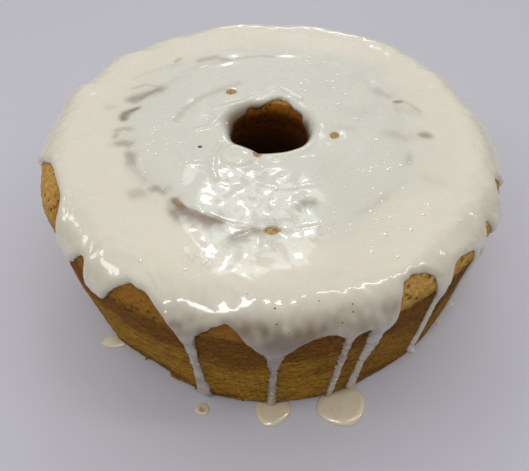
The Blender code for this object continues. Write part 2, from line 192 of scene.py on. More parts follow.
# Lines along which the crust shows through thin icing, and lines of painted shade beside steps, spots and the
# crack: places in mm, strength, half breadth in mm
Line = namedtuple("Line", "places height breadth")
SHOW_THROUGH_AND_SHADE_LINES = rows(
    Line,
    (((-75.6, 31.8), (-68.6, 36.8), (-61.7, 35.3)), 0.35, 1.6),
    (((-74.5, 21.5), (-68, 26), (-60.5, 31)), 0.60, 4.4),
    (((-71, 13.5), (-75.5, 9.5), (-77, 4)), 0.74, 2.7),
    (((-76.5, 6), (-76.4, 3)), 0.80, 2.6),
    (((-73.6, 11.6), (-71, 13.8)), 0.95, 0.9),
    (((-77, -12.5), (-77.3, -6.5), (-74, -5), (-69.5, -5.3)), 0.42, 2.3),
    (((-74, -17.1), (-68.5, -17.3)), 0.50, 3.9),
    (((-67, -25), (-64.8, -31.5)), 0.52, 3.7),
    (((-64, -35.5), (-57.5, -43)), 0.30, 4),
    (((-60.5, -51.5), (-57.5, -51.5)), 0.38, 4.5),
    (((-52, -48.2), (-47.5, -49.3)), 0.55, 3.6),
    (((-41.5, -56.5), (-38.5, -60.5)), 1, 3.4),
    (((-39.5, -62), (-32, -66.5), (-22.5, -68.5)), 0.72, 5.5),
    (((-85.8, 13.8), (-83.1, 13.8)), 0.25, 3.4),
    (((-17.5, 39.8), (-26, 33.5), (-38.8, 23.1), (-46.3, 12), (-49.1, 4.1)), 0.32, 2.8),
    (((-77, 43), (-68, 49.5), (-59, 54.7), (-52, 58)), 0.22, 2.2),
    (((-55, 60.5), (-53.5, 62.5)), 0.48, 2),
    (((-41, 62), (-33, 66), (-24, 64)), 0.42, 2.8),
    (((-19, 66), (-7, 69), (2, 67)), 0.42, 1.5),
    (((60, 31.5), (66, 26.5)), 0.36, 4),
    (((68.3, 20.8), (70.5, 19.8)), 0.75, 1.2),
    (((71, 21.5), (75.5, 17.5), (79, 11)), 0.40, 1.6),
    (((70, 15), (77, 8)), 0.22, 4),
    (((77, -9), (79, -9.6)), 0.62, 3.2),
    (((60, -8), (70, -10.5)), 0.28, 4.5),
    (((37, 14), (46, 8), (54, 14)), 0.16, 5.5),
    (((36, -2), (42, -3.5)), 0.22, 3),
    (((72, -40), (78, -44)), 0.18, 4),
    (((14.1, -57.7), (17.6, -57.7)), 0.50, 3.1),
    (((-15, -77.5), (-8, -73.5), (2, -72)), 0.55, 3.6),
)
# Soft steps in the icing left by the pour: radius and azimuth at one end, at the other, height
STEPS = (
    (80.4, 131, 61.3, 73, 0.22 * MM),
    (83.1, 131, 80.7, 76, 0.18 * MM),
    (43.3, 121, 50.8, 183, 0.25 * MM),
)
# Raised lines that the icing set in: places on the top, height and half breadth, all in mm
FOLDS = rows(
    Line,
    (((-29.7, 15.5), (-20.3, 22), (-10.7, 28.7), (3.2, 34.6)), 0.42, 0.9),
    (((-23.6, 15.6), (-15.9, 20.8), (-6.3, 26.6), (2, 31)), 0.34, 0.8),
    (((7.6, 32.6), (11.9, 27.7), (16.6, 23.9)), 0.55, 1.5),
    (((-17.4, -26.1), (-13, -28.8), (-6.7, -29.5)), 0.25, 1.1),
    (((2.3, -28.3), (9.5, -27.3), (19.2, -25.8)), 0.25, 1.3),
    (((-36.6, -29.6), (-29.2, -29.1)), 0.40, 1.4),
    (((-24.1, -15.6), (-27, -24.7), (-27.2, -35.5), (-24.9, -42.3)), 0.50, 1.2),
    (((-37.8, -3.8), (-31.3, -1), (-26.5, 7.6)), 0.50, 1.5),
    (((-46.1, 9.7), (-30.4, 11.1), (-26.4, 6.7)), 0.22, 0.8),
    (((-67.3, 20.3), (-63.5, 23.1), (-62.3, 27.5)), 0.45, 1.1),
    (((-37.9, -57.5), (-34.6, -60.1), (-31.4, -61.3)), 0.40, 1),
    (((-18.8, -80), (-12.8, -76.8), (-7.1, -73.5)), 0.35, 1.1),
    (((-6, -44), (6, -48), (16, -46), (27, -44.5)), 0.22, 1.1),
    (((59.5, 3), (63, 3.5)), 0.35, 2),
)
# Rounded pours with a definite edge: place, half lengths and height, all in mm
Lobe = namedtuple("Lobe", "x y half_x half_y height")
LOBES = rows(Lobe, (-15.5, -24.5, 9.5, 9.5, 0.9))
# In front of the hole the icing lies as a shallow bowl: middle in mm, level, radius of curvature
BOWL_X, BOWL_Y, BOWL_LEVEL, BOWL_CURVE = -6, -63, -0.6, 590
BOWL_INNER, BOWL_OUTER = 22, 60
# Round the hole the icing falls off gently: where that starts and how fast it steepens
CURL_START, CURL_RATE = 36 * MM, 30
# Slope by which the icing falls off towards the right
RIGHT_FALL = 0.022
# How much at most the crust shows through the hem in front, with painted shade on the hem, and how much through
# the drips there
MOST_SHOWN_AND_SHADED_AT_HEM, SHOWN_IN_DRIPS = 0.84, 0.34
# That part of the hem: the azimuth of each end and the reach over which it sets in
HEM_ENDS = ((-118, 10), (-59, -9))
# Where it shows more and its painted shade is darker low down: azimuth, half width, how much; where less:
# azimuth, reach, how much
HEM_DARKEST = (-89, 7, 0.26)
HEM_LIGHTER = ((-76, 8, 0.16), (-98, -8, 0.12))
# Pinholes: azimuth, radius and half breadth in mm
PINHOLES = (
    (-89.4, 109.7, 0.5),
    (-89.1, 114.5, 0.4),
    (-86.8, 116.8, 0.35),
    (-74, 111.1, 0.45),
    (-74.2, 113.4, 0.5),
    (-76.7, 115.7, 0.45),
    (-94.9, 105.2, 0.3),
    (-80.5, 108.1, 0.35),
    (-150.7, 39.1, 1.3),
)
# Where bubbles gather: place and spread in mm, number of them
BUBBLE_CLUSTERS = (
    (53, -49, 10, 20, 55),
    (34, 36, 12, 18, 50),
    (30, 66, 12, 9, 22),
    (0, -52, 16, 12, 24),
    (-33, -92, 13, 6, 16),
    (38, -70, 14, 9, 24),
    (-60, -13, 6, 13, 16),
    (-45, -18, 10, 16, 26),
)
# Patches of fine froth: place, half lengths in mm and strength
FROTH = rows(
    Lobe,
    (-14.9, -41, 13, 13, 0.8),
    (-25.5, -59.7, 8, 4.5, 0.7),
    (4.1, -58.6, 13, 11, 1),
    (-26.5, -85.9, 9, 7.5, 1),
    (-6, -83.3, 10, 6.5, 0.8),
    (18.9, -74.6, 12, 6, 0.9),
    (49.4, -59.1, 9, 14, 0.35),
    (-38, -18, 8, 5, 0.4),
    (48, 30, 26, 20, 0.25),
)

# Unevenness as kinds of ripple: size and wavelength in mm, seed; or without the size where it varies
HEM_RIPPLE = (0.22, 6, 3)
DRIP_RIPPLE = (4.2, 5)
HOLE_EDGE_RIPPLE = (0.3, 5, 9)
TOP_SWELL = (26, 21)
BOWL_RIPPLES = ((0.10, 17, 25), (0.035, 8, 26))
INNER_RIPPLE = (0.05, 13, 22)
FROTH_RIPPLE = (0.045, 6.5, 23)
SHOULDER_RIPPLES = ((0.10, 10, 51), (0.05, 5.5, 52))
SHOW_AND_SHADE_LINE_SWAY = (0.5, 5, 37)
STREAKS = ((0.07, 3.2, 41), (0.10, 9, 42))
OPEN_CRUMB = ((0.20, 3.4, 43), (0.12, 2.1, 44))
PAN_LINE_SWAY = (0.5, 18, 45)

# The flake torn from the foot: azimuths in degrees
FLAKE_START, FLAKE_WIDTH = -118, 6.5
# Least slope of the rough depth that is trusted as a measure of distance
LEAST_SLOPE = 0.25
SAME_PLACE = 1e-4
# The sheet below the icing: its radius at the way 0 when laid flat, its steps and distance from the edge
UNFOLDED_HOLE = 60
SHEET_STEP_MM, SHEET_STEP, SHEET_MARGIN = 3.4, 3.0, 2.4 * MM
# Shares of the brown crust's red, green and blue at the hole's mouth and below it, where it is darkened as
# painted shade
HOLE_SHADE_TONES = ((1.12, 0.92, 0.55), (0.44, 0.28, 0.14))

# Heights in metres between which the crust's tones change
GOLDEN_TO_BROWN, DARK_FOOT = (0.036, 0.060), (0.010, 0)
PAN_LINE, SEAM_SHADE_TOP, SEAM_SHADE_FOOT = (0.0722, 0.0758), (0.0765, 0.0745), (0.0715, 0.0738)
BELOW_TOP, BELOW_LIP = (0.089, 0.085), (0.084, 0.081)
# The hole's wall darkens over these heights: painted shade down the hole
HOLE_MOUTH, HOLE_SHADE_DEPTH = (0.086, 0.080), (0.080, 0.055)
# Places in metres along X where the side is browner, and the crumb browned or pale
BROWNER_RIGHT, BROWNED_CRUMB, PALE_AT_LEFT = (0.015, 0.05), (0.02, -0.01), (-0.106, -0.090)
# Distances in metres from the upright axis: the hole, then the icing's ring, gloss and ripples
INTO_HOLE, HOLE_WALL = (0.034, 0.030), (0.0250, 0.0236)
CREAM_RING, GLOSSY_SIDE, RIPPLED_MIDDLE = (0.066, 0.092), (0.095, 0.085), (0.088, 0.055)

WHITE = (1, 1, 1)
# Lights: place and size in metres, share of which power, turn in degrees and tint
Light = namedtuple("Light", "place size share power turn tint", defaults=(0, WHITE))
LIGHTS = {
    "overhead": Light((-0.184, -0.556, 1.359), (0.71, 0.11), 1, "overhead", 58),
    "front": Light((-0.672, -0.825, 1.109), (0.27, 0.10), 0.36, "overhead", 58),
    "back": Light((-0.03, 1.10, 1.3), (0.33, 0.26), 0.32, "window", 0, (0.80, 0.90, 1)),
    "window": Light((-0.05, 1.17, 1.3), (0.14, 0.08), 0.16, "window"),
    "low back": Light((0.15, 2.4, 0.78), (0.9, 0.12), 1, "window"),
    "left": Light((-1.6, 0.40, 1.15), (0.20, 0.22), 0.45, "sides"),
    "front left": Light((-1.6, -0.12, 1.15), (0.5, 0.36), 1.8, "sides"),
    "right": Light((0.80, -0.08, 1.32), (0.95, 0.08), 1.4, "sides", -90),
}
LIGHTS_AIM = (0, 0, 0.09)
# How far the dome's brightest part leans back from straight above
DOME_LEAN = math.radians(28)
# The camera: focal length and sensor width in mm, place in metres, degrees it looks down
CAMERA_LENS = (34.03, 36)
CAMERA_PLACE = (-0.002704, -0.211640, 0.246580)
CAMERA_DOWN = 48.91


# Sizes and colours ------------------------------------------------------------------------------


def length(name, description, value):
    return FloatProperty(name=name, description=description, default=value, min=0, unit="LENGTH")


def colour(name, description, value):
    return FloatVectorProperty(
        name=name, description=description, default=value, min=0, max=1, size=3, subtype="COLOR"
    )


class CakeSizes(bpy.types.PropertyGroup):
    foot_radius: length("Foot radius", "Radius of the side at the base", 0.1094)
    pan_radius: length("Pan radius", "Radius of the side at the pan line", 0.1172)
    pan_line: length("Pan line", "Height up to which the pan held the cake", 0.0740)
    top_height: length("Top height", "Height of the bare flat top", 0.0888)
    shoulder_reach: length("Shoulder reach", "How far the shoulder curves in from the side", 0.0180)
    foot_edge: length("Foot edge", "Rounding of the lower outer edge", 0.0040)
    hole_foot_radius: length("Hole radius, foot", "Radius of the hole at the base", 0.0270)
    hole_radius: length("Hole radius, top", "Radius of the hole below its lip", 0.0215)
    hole_edge: length("Hole edge", "Rounding of the hole's lower edge", 0.0020)
    lip_reach: length("Lip reach", "How far the lip curves in from the flat top", 0.0065)
    lip_drop: length("Lip drop", "Height of the lip's curve", 0.0070)
    turns: IntProperty(name="Steps round", description="Steps in a turn of the crust", default=540, min=60)


class IcingSizes(bpy.types.PropertyGroup):
    hem_height: length("Hem height", "Mean height of the curtain's lower edge", 0.0743)
    top: length("Thickness on top", "Icing over the flat top", 0.0026)
    shoulder: length("Thickness on the shoulder", "Icing over the shoulder", 0.0025)
    bead: length("Bead", "Thickness of the bead along the hem", 0.0029)
    drip: length("Drips", "Thickness of a drip's middle", 0.0018)
    edge: length("Edge rounding", "Breadth over which the icing's edge rounds off", 0.0021)
    run_in: length("Run into the hole", "How far the icing runs over the lip", 0.0070)
    columns: IntProperty(name="Columns", description="Columns of the curtain in a turn", default=840, min=120)


class CakeColours(bpy.types.PropertyGroup):
    golden: colour("Golden side", "Baked side at mid height", (0.47, 0.245, 0.022))
    brown: colour("Brown side", "Darker crust below the pan line", (0.235, 0.095, 0.008))
    crumb: colour("Crumb", "Open crumb of the shoulder", (0.545, 0.32, 0.085))
    pore: colour("Pores", "Shade in the pores", (0.14, 0.06, 0.01))
    icing: colour("Icing", "Icing over the middle", (0.61, 0.605, 0.52))
    cream: colour("Icing, outer ring", "Thicker, creamier icing of the outer ring", (0.69, 0.648, 0.535))
    # Show-through: the crust's tone seen through thin icing, also the painted shade beside marks and on the
    # front hem
    show: colour("Show-through", "Icing where the crust shows through", (0.245, 0.182, 0.128))
    tan: colour("Bare spots", "Crust left bare in the icing", (0.42, 0.30, 0.125))
    puddle: colour("Puddles", "Icing run out thin", (0.69, 0.585, 0.42))
    floor: colour("Floor", "Plain pale floor", (0.53, 0.525, 0.59))


class StageSizes(bpy.types.PropertyGroup):
    overhead: FloatProperty(name="Overhead light", description="Power of the strip above", default=3)
    window: FloatProperty(name="Back light", description="Power of the soft light behind", default=2)
    sides: FloatProperty(name="Side lights", description="Power of the lights at the sides", default=1.6)
    sky: FloatProperty(name="Surround", description="Strength of the soft dome above", default=1.2)
    horizon: FloatProperty(name="Horizon", description="Share of the dome's light at the horizon", default=0.14)


# Form of the cake and the icing -----------------------------------------------------------------


def turn_between(azimuth, other):
    """The angle from one azimuth to another, between -180 and 180."""
    return (azimuth - other + 180) % 360 - 180


def smooth(value):
    """A soft step from 0 to 1 while a value goes from 0 to 1."""
    share = np.clip(value, 0, 1)
    return share * share * (3 - 2 * share)


def over(value, start, reach):
    """Rises softly from 0 at the start to 1 a reach further on, both in mm."""
    return smooth((value - start * MM) / (reach * MM))


def bell(value, half_breadth):
    """One at zero, falling off softly to both sides; the half breadth is in mm."""
    return np.exp(-((value / (half_breadth * MM)) ** 2))


def close_to(azimuth, where, half_width, peak=1):
    return smooth(peak - np.abs(turn_between(azimuth, where)) / half_width)


def in_front(azimuth):
    """One on the drips in front, zero on those at the right."""
    return smooth((-58 - azimuth) / 10)


def ripple(points, wavelength, seed, count=14):
    """Smooth seeded noise of about unit size, one wavelength in mm from swell to swell."""
    draw = np.random.default_rng(seed)
    way = draw.normal(size=(count, 3))
    way /= np.linalg.norm(way, axis=1)[:, None]
    way *= 2 * math.pi / (wavelength * MM) * draw.uniform(0.7, 1.4, count)[:, None]
    phase = draw.uniform(0, 2 * math.pi, count)
    return np.sin(points @ way.T + phase).sum(axis=1) / math.sqrt(count / 2)


def waves(points, *kinds):
    """Seeded unevenness summed over kinds of ripple: size and wavelength in mm, seed."""
    return sum(size * MM * ripple(points, wavelength, seed) for size, wavelength, seed in kinds)


class Form:
    """The bare cake's section and the places on its uneven crust.

    A way is a distance along the section, from the inner edge of the flat top: negative over the
    lip and down the hole, positive over the top, the shoulder and down the side."""

    def __init__(self, sizes):
        self.sizes = sizes
        self.flat_start = sizes.hole_radius + sizes.lip_reach
        self.flat = sizes.pan_radius - sizes.shoulder_reach - self.flat_start
        self.shoulder = math.hypot(sizes.shoulder_reach, sizes.top_height - sizes.pan_line) * ARC_TO_CHORD
        self.lip = math.hypot(sizes.lip_reach, sizes.lip_drop) * ARC_TO_CHORD
        self.foot_way = self.flat + self.shoulder + sizes.pan_line

    def side_radius(self, height):
        s = self.sizes
        return s.foot_radius + (s.pan_radius - s.foot_radius) * height / s.pan_line

    def hole_wall(self, height):
        s = self.sizes
        wider, depth = s.hole_radius - s.hole_foot_radius, s.top_height - s.lip_drop
        return s.hole_foot_radius + wider * height / depth

    def section(self, way):
        """Radius and height at each way."""
        s = self.sizes
        radius = self.flat_start + np.clip(way, 0, self.flat)
        height = np.full_like(radius, s.top_height)
        curves = (
            (-way, self.lip, -s.lip_reach, s.lip_drop, self.hole_wall),
            (way - self.flat, self.shoulder, s.shoulder_reach, s.top_height - s.pan_line, self.side_radius),
        )
        for past, curve, reach, drop, wall in curves:
            angle = np.clip(past / curve, 0, 1) * math.pi / 2
            radius += reach * np.sin(angle)
            height -= drop * (1 - np.cos(angle))
            below = np.clip(past - curve, 0, None)
            height -= below
            radius = np.where(below > 0, wall(height), radius)
        return radius, height

    def way_at(self, height):
        """The way on the shoulder or the side at each height."""
        s = self.sizes
        share = np.clip((height - s.pan_line) / (s.top_height - s.pan_line), 0, 1)
        on_shoulder = self.shoulder * np.arccos(share) / (math.pi / 2)
        return self.flat + on_shoulder + np.clip(s.pan_line - height, 0, None)

    def side_wave(self, azimuth, height):
        """How far the side stands out from the turned section."""
        wave = sum(size * np.cos(n * np.radians(azimuth - crest)) for n, size, crest in SIDE_WAVES)
        rise = np.minimum(height / self.sizes.pan_line, 1)
        wave = wave * (WAVE_SHARE_AT_FOOT + (1 - WAVE_SHARE_AT_FOOT) * rise)
        where, depth, half_width = UPRIGHT
        upright = (1 + OUT_AT_FOOT) * over(height, *UPRIGHT_ABOVE) - OUT_AT_FOOT
        wave = wave - depth * close_to(azimuth, where, half_width) * upright
        for where, foot, top, half_width in SIDE_BULGES:
            bulge = foot + (top - foot) * over(height, *BULGE_CHANGES)
            wave = wave + close_to(azimuth, where, half_width) * bulge
        return wave

    def foot_dent(self, azimuth, height):
        """How far the foot is knocked in."""
        where, depth, half_width = FOOT_DENT
        return depth * close_to(azimuth, where, half_width) * smooth(1 - height / self.sizes.pan_line)

    def crack_radius(self, azimuth):
        angle = np.radians(azimuth)
        return CRACK_RADIUS + CRACK_SWAY * np.sin(2 * angle + 0.6) * np.cos(angle - 2.4)

    def crack_drop(self, azimuth, radius):
        """How deep the ring-shaped crack is."""
        depth = CRACK_DEPTH * (0.75 + 0.25 * np.sin(3 * np.radians(azimuth) + 1))
        return depth * bell(radius - self.crack_radius(azimuth), CRACK_HALF_WIDTH)

    def top_relief(self, azimuth, radius):
        """Rise of the bare top: swells, the lower middle and the crack."""
        s = self.sizes
        angle = np.radians(azimuth)
        crack = self.crack_radius(azimuth)
        fall = INNER_DROP * smooth((crack - radius) / (crack - s.hole_radius))
        swell = SWELL * (np.sin(2 * angle + 0.8) + np.sin(5 * angle + 40 * radius))
        fade = smooth((radius - s.hole_radius) / s.lip_reach)
        fade *= smooth((s.pan_radius - radius) / s.shoulder_reach)
        return (swell - fall - self.crack_drop(azimuth, radius)) * fade

    def place(self, azimuth, radius, height):
        """The place on the uneven cake of a point of the turned section."""
        s = self.sizes
        outwards = (radius - s.hole_radius) / (s.pan_radius - s.hole_radius)
        uneven = radius + self.side_wave(azimuth, height) * smooth(outwards)
        uneven = uneven - self.foot_dent(azimuth, height) * outwards
        rise = np.where(height > s.pan_line, self.top_relief(azimuth, radius), 0)
        angle = np.radians(azimuth)
        return np.stack([uneven * np.cos(angle), uneven * np.sin(angle), height + rise], axis=1)

    def crust(self, azimuth, way):
        return self.place(azimuth, *self.section(way))

    def outwards(self, azimuth, way):
        """Unit normals of the crust."""
        step, turn = 0.3 * MM, 0.2
        along = self.crust(azimuth, way + step) - self.crust(azimuth, way - step)
        across = self.crust(azimuth + turn, way) - self.crust(azimuth - turn, way)
        normal = np.cross(along, across)
        return normal / np.linalg.norm(normal, axis=1)[:, None]


def add_hidden_side():
    """Adds the patches and drips of the side away from the front, drawn from a fixed seed."""
    draw = random.Random(HIDDEN_SEED)
    pitch = (HIDDEN_LAST - HIDDEN_FIRST) / HIDDEN_COUNT
    for number in range(HIDDEN_COUNT):
        left = HIDDEN_FIRST + pitch * (number + draw.uniform(0, 0.12))
        right = left + pitch * draw.uniform(0.36, 0.6)
        peak = left + (right - left) * draw.uniform(0.4, 0.6)
        PATCHES.append(Patch(left, peak, right, draw.uniform(80, 88), draw.uniform(1.8, 3)))
        azimuth = right + (left + pitch - right) * draw.uniform(0.4, 0.6)
        width = draw.uniform(3.8, 5.4)
        hem_width = width * draw.uniform(1.3, 1.8)
        neck = draw.uniform(48, 62)
        foot = draw.choice(HIDDEN_FEET)
        foot_azimuth = azimuth + draw.uniform(-1, 1)
        DRIPS.append(Drip(azimuth, foot_azimuth, hem_width, width, width * 1.1, neck, foot))


def hem_heights(azimuth, sizes):
    """Height of the hem between the drips, with the bare patches that rise into it."""
    height = sizes.hem_height + HEM_SWAY * np.sin(7 * np.radians(azimuth) + 1)
    for patch in PATCHES:
        from_peak = turn_between(azimuth, patch.peak)
        half = np.where(from_peak < 0, patch.peak - patch.left, patch.right - patch.peak)
        rise = np.clip(1 - (np.abs(from_peak) / half) ** patch.squareness, 0, 1)
        height = height + (patch.top * MM - height) * rise
    return height


def runs_in(azimuth, sizes):
    """How far the icing runs over the lip and down the hole."""
    run = sizes.run_in + 1 * MM * np.sin(5 * np.radians(azimuth))
    for where, half_width, extra in TONGUES:
        run = run + extra * close_to(azimuth, where, half_width)
    return run


def soft_union(one, other, reach):
    """The larger of two depths, with a fillet where they meet."""
    near = np.clip(reach - np.abs(one - other), 0, None) / reach
    return np.maximum(one, other) + near * near * reach / 4


def drip_depth(drip, azimuth, radius, height, hem):
    """How far inside a drip's outline each point is; negative outside it."""
    neck, foot = drip.neck * MM, drip.foot * MM
    above = np.clip((height - neck) / (hem - neck), 0, 1)
    below = np.clip((neck - height) / (neck - foot), 0, 1)
    width = drip.neck_width + (drip.hem_width - drip.neck_width) * above**FUNNEL_POWER
    width = width + (drip.foot_width - drip.neck_width) * below**FOOT_POWER
    centre = drip.azimuth + (drip.foot_azimuth - drip.azimuth) * (hem - height) / (hem - foot)
    aside = np.radians(turn_between(azimuth, centre)) * radius
    half = drip.foot_width * MM / 2
    end = half - np.hypot(aside, np.clip(foot + half - height, 0, None))
    return np.minimum(width * MM / 2 - np.abs(aside), np.where(height < foot + half, end, FAR))


def foot_beads(azimuth, radius, height):
    """Extra thickness where a drip stopped short of the ground and its end hangs as a bead."""
    bead = np.zeros_like(radius)
    for drip in DRIPS:
        if drip.foot > BEAD_LOWEST and drip.foot_width > BEAD_NARROWEST:
            aside = np.radians(turn_between(azimuth, drip.foot_azimuth)) * radius
            off = np.hypot(aside, height - (drip.foot + drip.foot_width / 2) * MM)
            bead = np.maximum(bead, bell(off, BEAD_SHARE * drip.foot_width))
    return FOOT_BEAD * bead


def icing_depth(form, sizes, azimuth, way):
    """How far inside the icing's outline each place on the crust is; negative on bare crust."""
    radius, height = form.section(way)
    sway = np.stack([np.radians(azimuth) * radius, height, 0 * height], axis=1)
    depth = form.way_at(hem_heights(azimuth, sizes)) - way + waves(sway, HEM_RIPPLE)
    for drip in DRIPS:
        depth = soft_union(depth, drip_depth(drip, azimuth, radius, height, sizes.hem_height), DRIP_FILLET)
    low = over(sizes.hem_height - height, 4, 8)
    wavy = 0.18 + 0.12 * in_front(azimuth)
    depth = depth + waves(sway, (low * wavy, *DRIP_RIPPLE))
    hole_edge = way + runs_in(azimuth, sizes) + waves(sway, HOLE_EDGE_RIPPLE)
    return np.where(way < 0.4 * form.flat, hole_edge, depth)


def spot_mask(spots, azimuth, radius):
    """The strongest of the soft spots at each place on the top."""
    mask = np.zeros_like(radius)
    for spot in spots:
        along = np.radians(turn_between(azimuth, spot.azimuth)) * radius / (spot.along * MM)
        across = (radius - spot.radius * MM) / (spot.across * MM)
        mask = np.maximum(mask, spot.strength * np.exp(-(along**2 + across**2)))
    return mask


def lobe_share(lobe, points):
    """One at a lobe's middle, zero at its outline, negative outside it."""
    x = (points[:, 0] / MM - lobe.x) / lobe.half_x
    y = (points[:, 1] / MM - lobe.y) / lobe.half_y
    return 1 - x * x - y * y


def froth(points):
    """How frothy the icing is at each place, from 0 to 1."""
    return np.max([lobe.height * smooth(lobe_share(lobe, points) * 0.8 + 0.5) for lobe in FROTH], axis=0)


def along_lines(lines, points):
    """The highest of the lines' soft profiles at each place."""
    spots = points[:, :2] / MM
    found = np.zeros(len(spots))
    for line in lines:
        near = np.full(len(spots), np.inf)
        for start, end in zip(line.places, line.places[1:]):
            start, along = np.array(start), np.subtract(end, start)
            share = np.clip((spots - start) @ along / (along @ along), 0, 1)
            off = spots - start - share[:, None] * along
            near = np.minimum(near, np.hypot(off[:, 0], off[:, 1]))
        found = np.maximum(found, line.height * np.exp(-((near / line.breadth) ** 2)))
    return found


def poured_relief(form, azimuth, radius, points):
    """Rise of the icing's own face on top: pour steps, folds, lobes, swells and small ripples."""
    x, y = points[:, 0], points[:, 1]
    rise = form.crack_drop(azimuth, radius) * np.clip(0.7 + 0.2 * ripple(points, 24, 24), 0.3, 1)
    off = np.hypot(x / MM - BOWL_X, y / MM - BOWL_Y)
    bowl = (BOWL_LEVEL + off * off / (2 * BOWL_CURVE)) * MM - form.top_relief(azimuth, radius)
    share = smooth((BOWL_OUTER - off) / (BOWL_OUTER - BOWL_INNER))
    rise += share * (bowl - rise) + waves(points, (0.05 + 0.04 * share, *TOP_SWELL))
    rise += share * waves(points, *BOWL_RIPPLES)
    curl = close_to(azimuth, FRONT, 60, 1.6)
    rise -= curl * CURL_RATE * np.clip(CURL_START - radius, 0, 9 * MM) ** 2 / 2
    inner = smooth((form.crack_radius(azimuth) - radius) / (24 * MM))
    rise += inner * waves(points, INNER_RIPPLE) + froth(points) * waves(points, FROTH_RIPPLE)
    rise -= RIGHT_FALL * over(x, 18, 20) * np.clip(x - 18 * MM, 0, 45 * MM)
    rise += along_lines(FOLDS, points) * MM
    for lobe in LOBES:
        rise += lobe.height * MM * np.sqrt(smooth(lobe_share(lobe, points)))
    for radius_a, azimuth_a, radius_b, azimuth_b, height in STEPS:
        share = turn_between(azimuth, azimuth_a) / (azimuth_b - azimuth_a)
        line = (radius_a + (radius_b - radius_a) * share) * MM
        ends = smooth(share * 6 + 0.5) * smooth((1 - share) * 6 + 0.5)
        rise += height * ends * (over(radius - line, -3, 6) - 0.5)
    return rise


def icing_thickness(form, sizes, azimuth, way, depth, points):
    """Thickness of the icing at each place, rounded off towards its outline."""
    radius, height = form.section(way)
    top = sizes.top + poured_relief(form, azimuth, radius, points)
    side = sizes.shoulder + (sizes.bead - sizes.shoulder) * bell(depth - 3 * MM, 2.6)
    for where, more, half_width, low in LUMPS:
        side = side + more * close_to(azimuth, where, half_width) * over(height, low, 8)
    full = top + (side - top) * over(way - form.flat, -6, 14)
    full = full * (1 - THINNER_IN_HOLE * over(-way, 0, 15))
    low = over(sizes.hem_height - height, 2, 9) * (way > 0)
    full = full + (sizes.drip - full) * low + foot_beads(azimuth, radius, height)
    full = full + bell(way - form.flat - 4 * MM, 9) * waves(points, *SHOULDER_RIPPLES)
    full = full - BARE_DEPTH * spot_mask(BARE_SPOTS, azimuth, radius)
    full = full + CRAG_HEIGHT * spot_mask(BARE_SPOTS[CRAG:], azimuth, radius)
    full = full + LIP_BULGE * close_to(azimuth, FRONT, 70, 1.3) * bell(way + 4.5 * MM, 4.5)
    edge = 1 - np.clip(depth / sizes.edge, 0, 1)
    return full * np.sqrt(1 - edge * edge)


def thinness(form, sizes, azimuth, way, points):
    """How much the crust shows through the icing and how much painted shade lies on it, from 0 to 1."""
    radius, height = form.section(way)
    on_top, on_side = (way > 0) & (way < form.flat), way > form.flat
    crack = bell(radius - form.crack_radius(azimuth), 3.2)
    crack *= 0.05 + 0.12 * np.clip(ripple(points, 16, 31), 0, None)
    # Lines where the crust shows through, and lines of painted shade beside steps, spots and the crack
    uneven = points + waves(points, SHOW_AND_SHADE_LINE_SWAY)[:, None]
    mask = np.maximum(along_lines(SHOW_THROUGH_AND_SHADE_LINES, uneven), crack) * on_top
    # Down the hole the mask runs up to 1, where the icing takes the hole's painted shade
    hole = over(-way, 2.5, 10) * (0.95 + 0.15 * ripple(points, 7, 33))
    behind = close_to(azimuth, 138, 45, 1.4) * np.clip((-way - 0.2 * MM) / (8 * MM), 0, 1) ** 0.8
    mask = np.maximum(mask, np.where(way < 0, np.maximum(hole, behind), 0))
    # At the front hem the crust shows through the thin icing, with painted shade over the hem's lower part
    hem = smooth(np.min([(azimuth - end) / reach for end, reach in HEM_ENDS], axis=0))
    hem = hem * over(-height, -89.5, 10) * on_side
    clouds = 0.56 + 0.09 * ripple(points, 13, 35) + 0.06 * ripple(points, 5, 36)
    where, half_width, more = HEM_DARKEST
    clouds += more * np.exp(-((turn_between(azimuth, where) / half_width) ** 2)) * over(-height, -82, 7)
    for end, reach, less in HEM_LIGHTER:
        clouds = clouds - less * smooth((azimuth - end) / reach)
    drips = over(sizes.hem_height - height, 0, 16) * SHOWN_IN_DRIPS * in_front(azimuth) * on_side
    thin = np.maximum(mask, hem * np.clip(clouds, 0, MOST_SHOWN_AND_SHADED_AT_HEM))
    return np.clip(np.maximum(thin, drips), 0, 1)


# Mesh tools -------------------------------------------------------------------------------------


def set_mode(mode):
    bpy.ops.object.mode_set(mode=mode)


def deselect():
    if bpy.context.mode != "OBJECT":
        set_mode("OBJECT")
    bpy.ops.object.select_all(action="DESELECT")


def only(obj):
    deselect()
    obj.select_set(True)
    bpy.context.view_layer.objects.active = obj


def edit(obj, kind="VERT", action="SELECT"):
    """Opens one object for editing, with all of it or nothing selected."""
    only(obj)
    set_mode("EDIT")
    bpy.ops.mesh.select_mode(type=kind)
    bpy.ops.mesh.select_all(action=action)


def merge_doubles(obj, distance):
    """Joins corners that lie closer together than a distance."""
    edit(obj)
    bpy.ops.mesh.remove_doubles(threshold=distance)
    set_mode("OBJECT")


def places(mesh, what="co"):
    spots = np.empty(len(mesh.vertices) * 3)
    mesh.vertices.foreach_get(what, spots)
    return spots.reshape(-1, 3)


def move_to(mesh, spots):
    mesh.vertices.foreach_set("co", np.ascontiguousarray(spots, dtype=np.float64).ravel())
    mesh.update()


def new_sheet(name, across, down):
    """A flat grid, with each vertex's column and row."""
    deselect()
    bpy.ops.mesh.primitive_grid_add(x_subdivisions=across, y_subdivisions=down, size=2)
    sheet = bpy.context.object
    sheet.name = name
    steps = np.rint((places(sheet.data)[:, :2] + 1) / 2 * (across, down)).astype(int)
    return sheet, steps[:, 0], steps[:, 1]


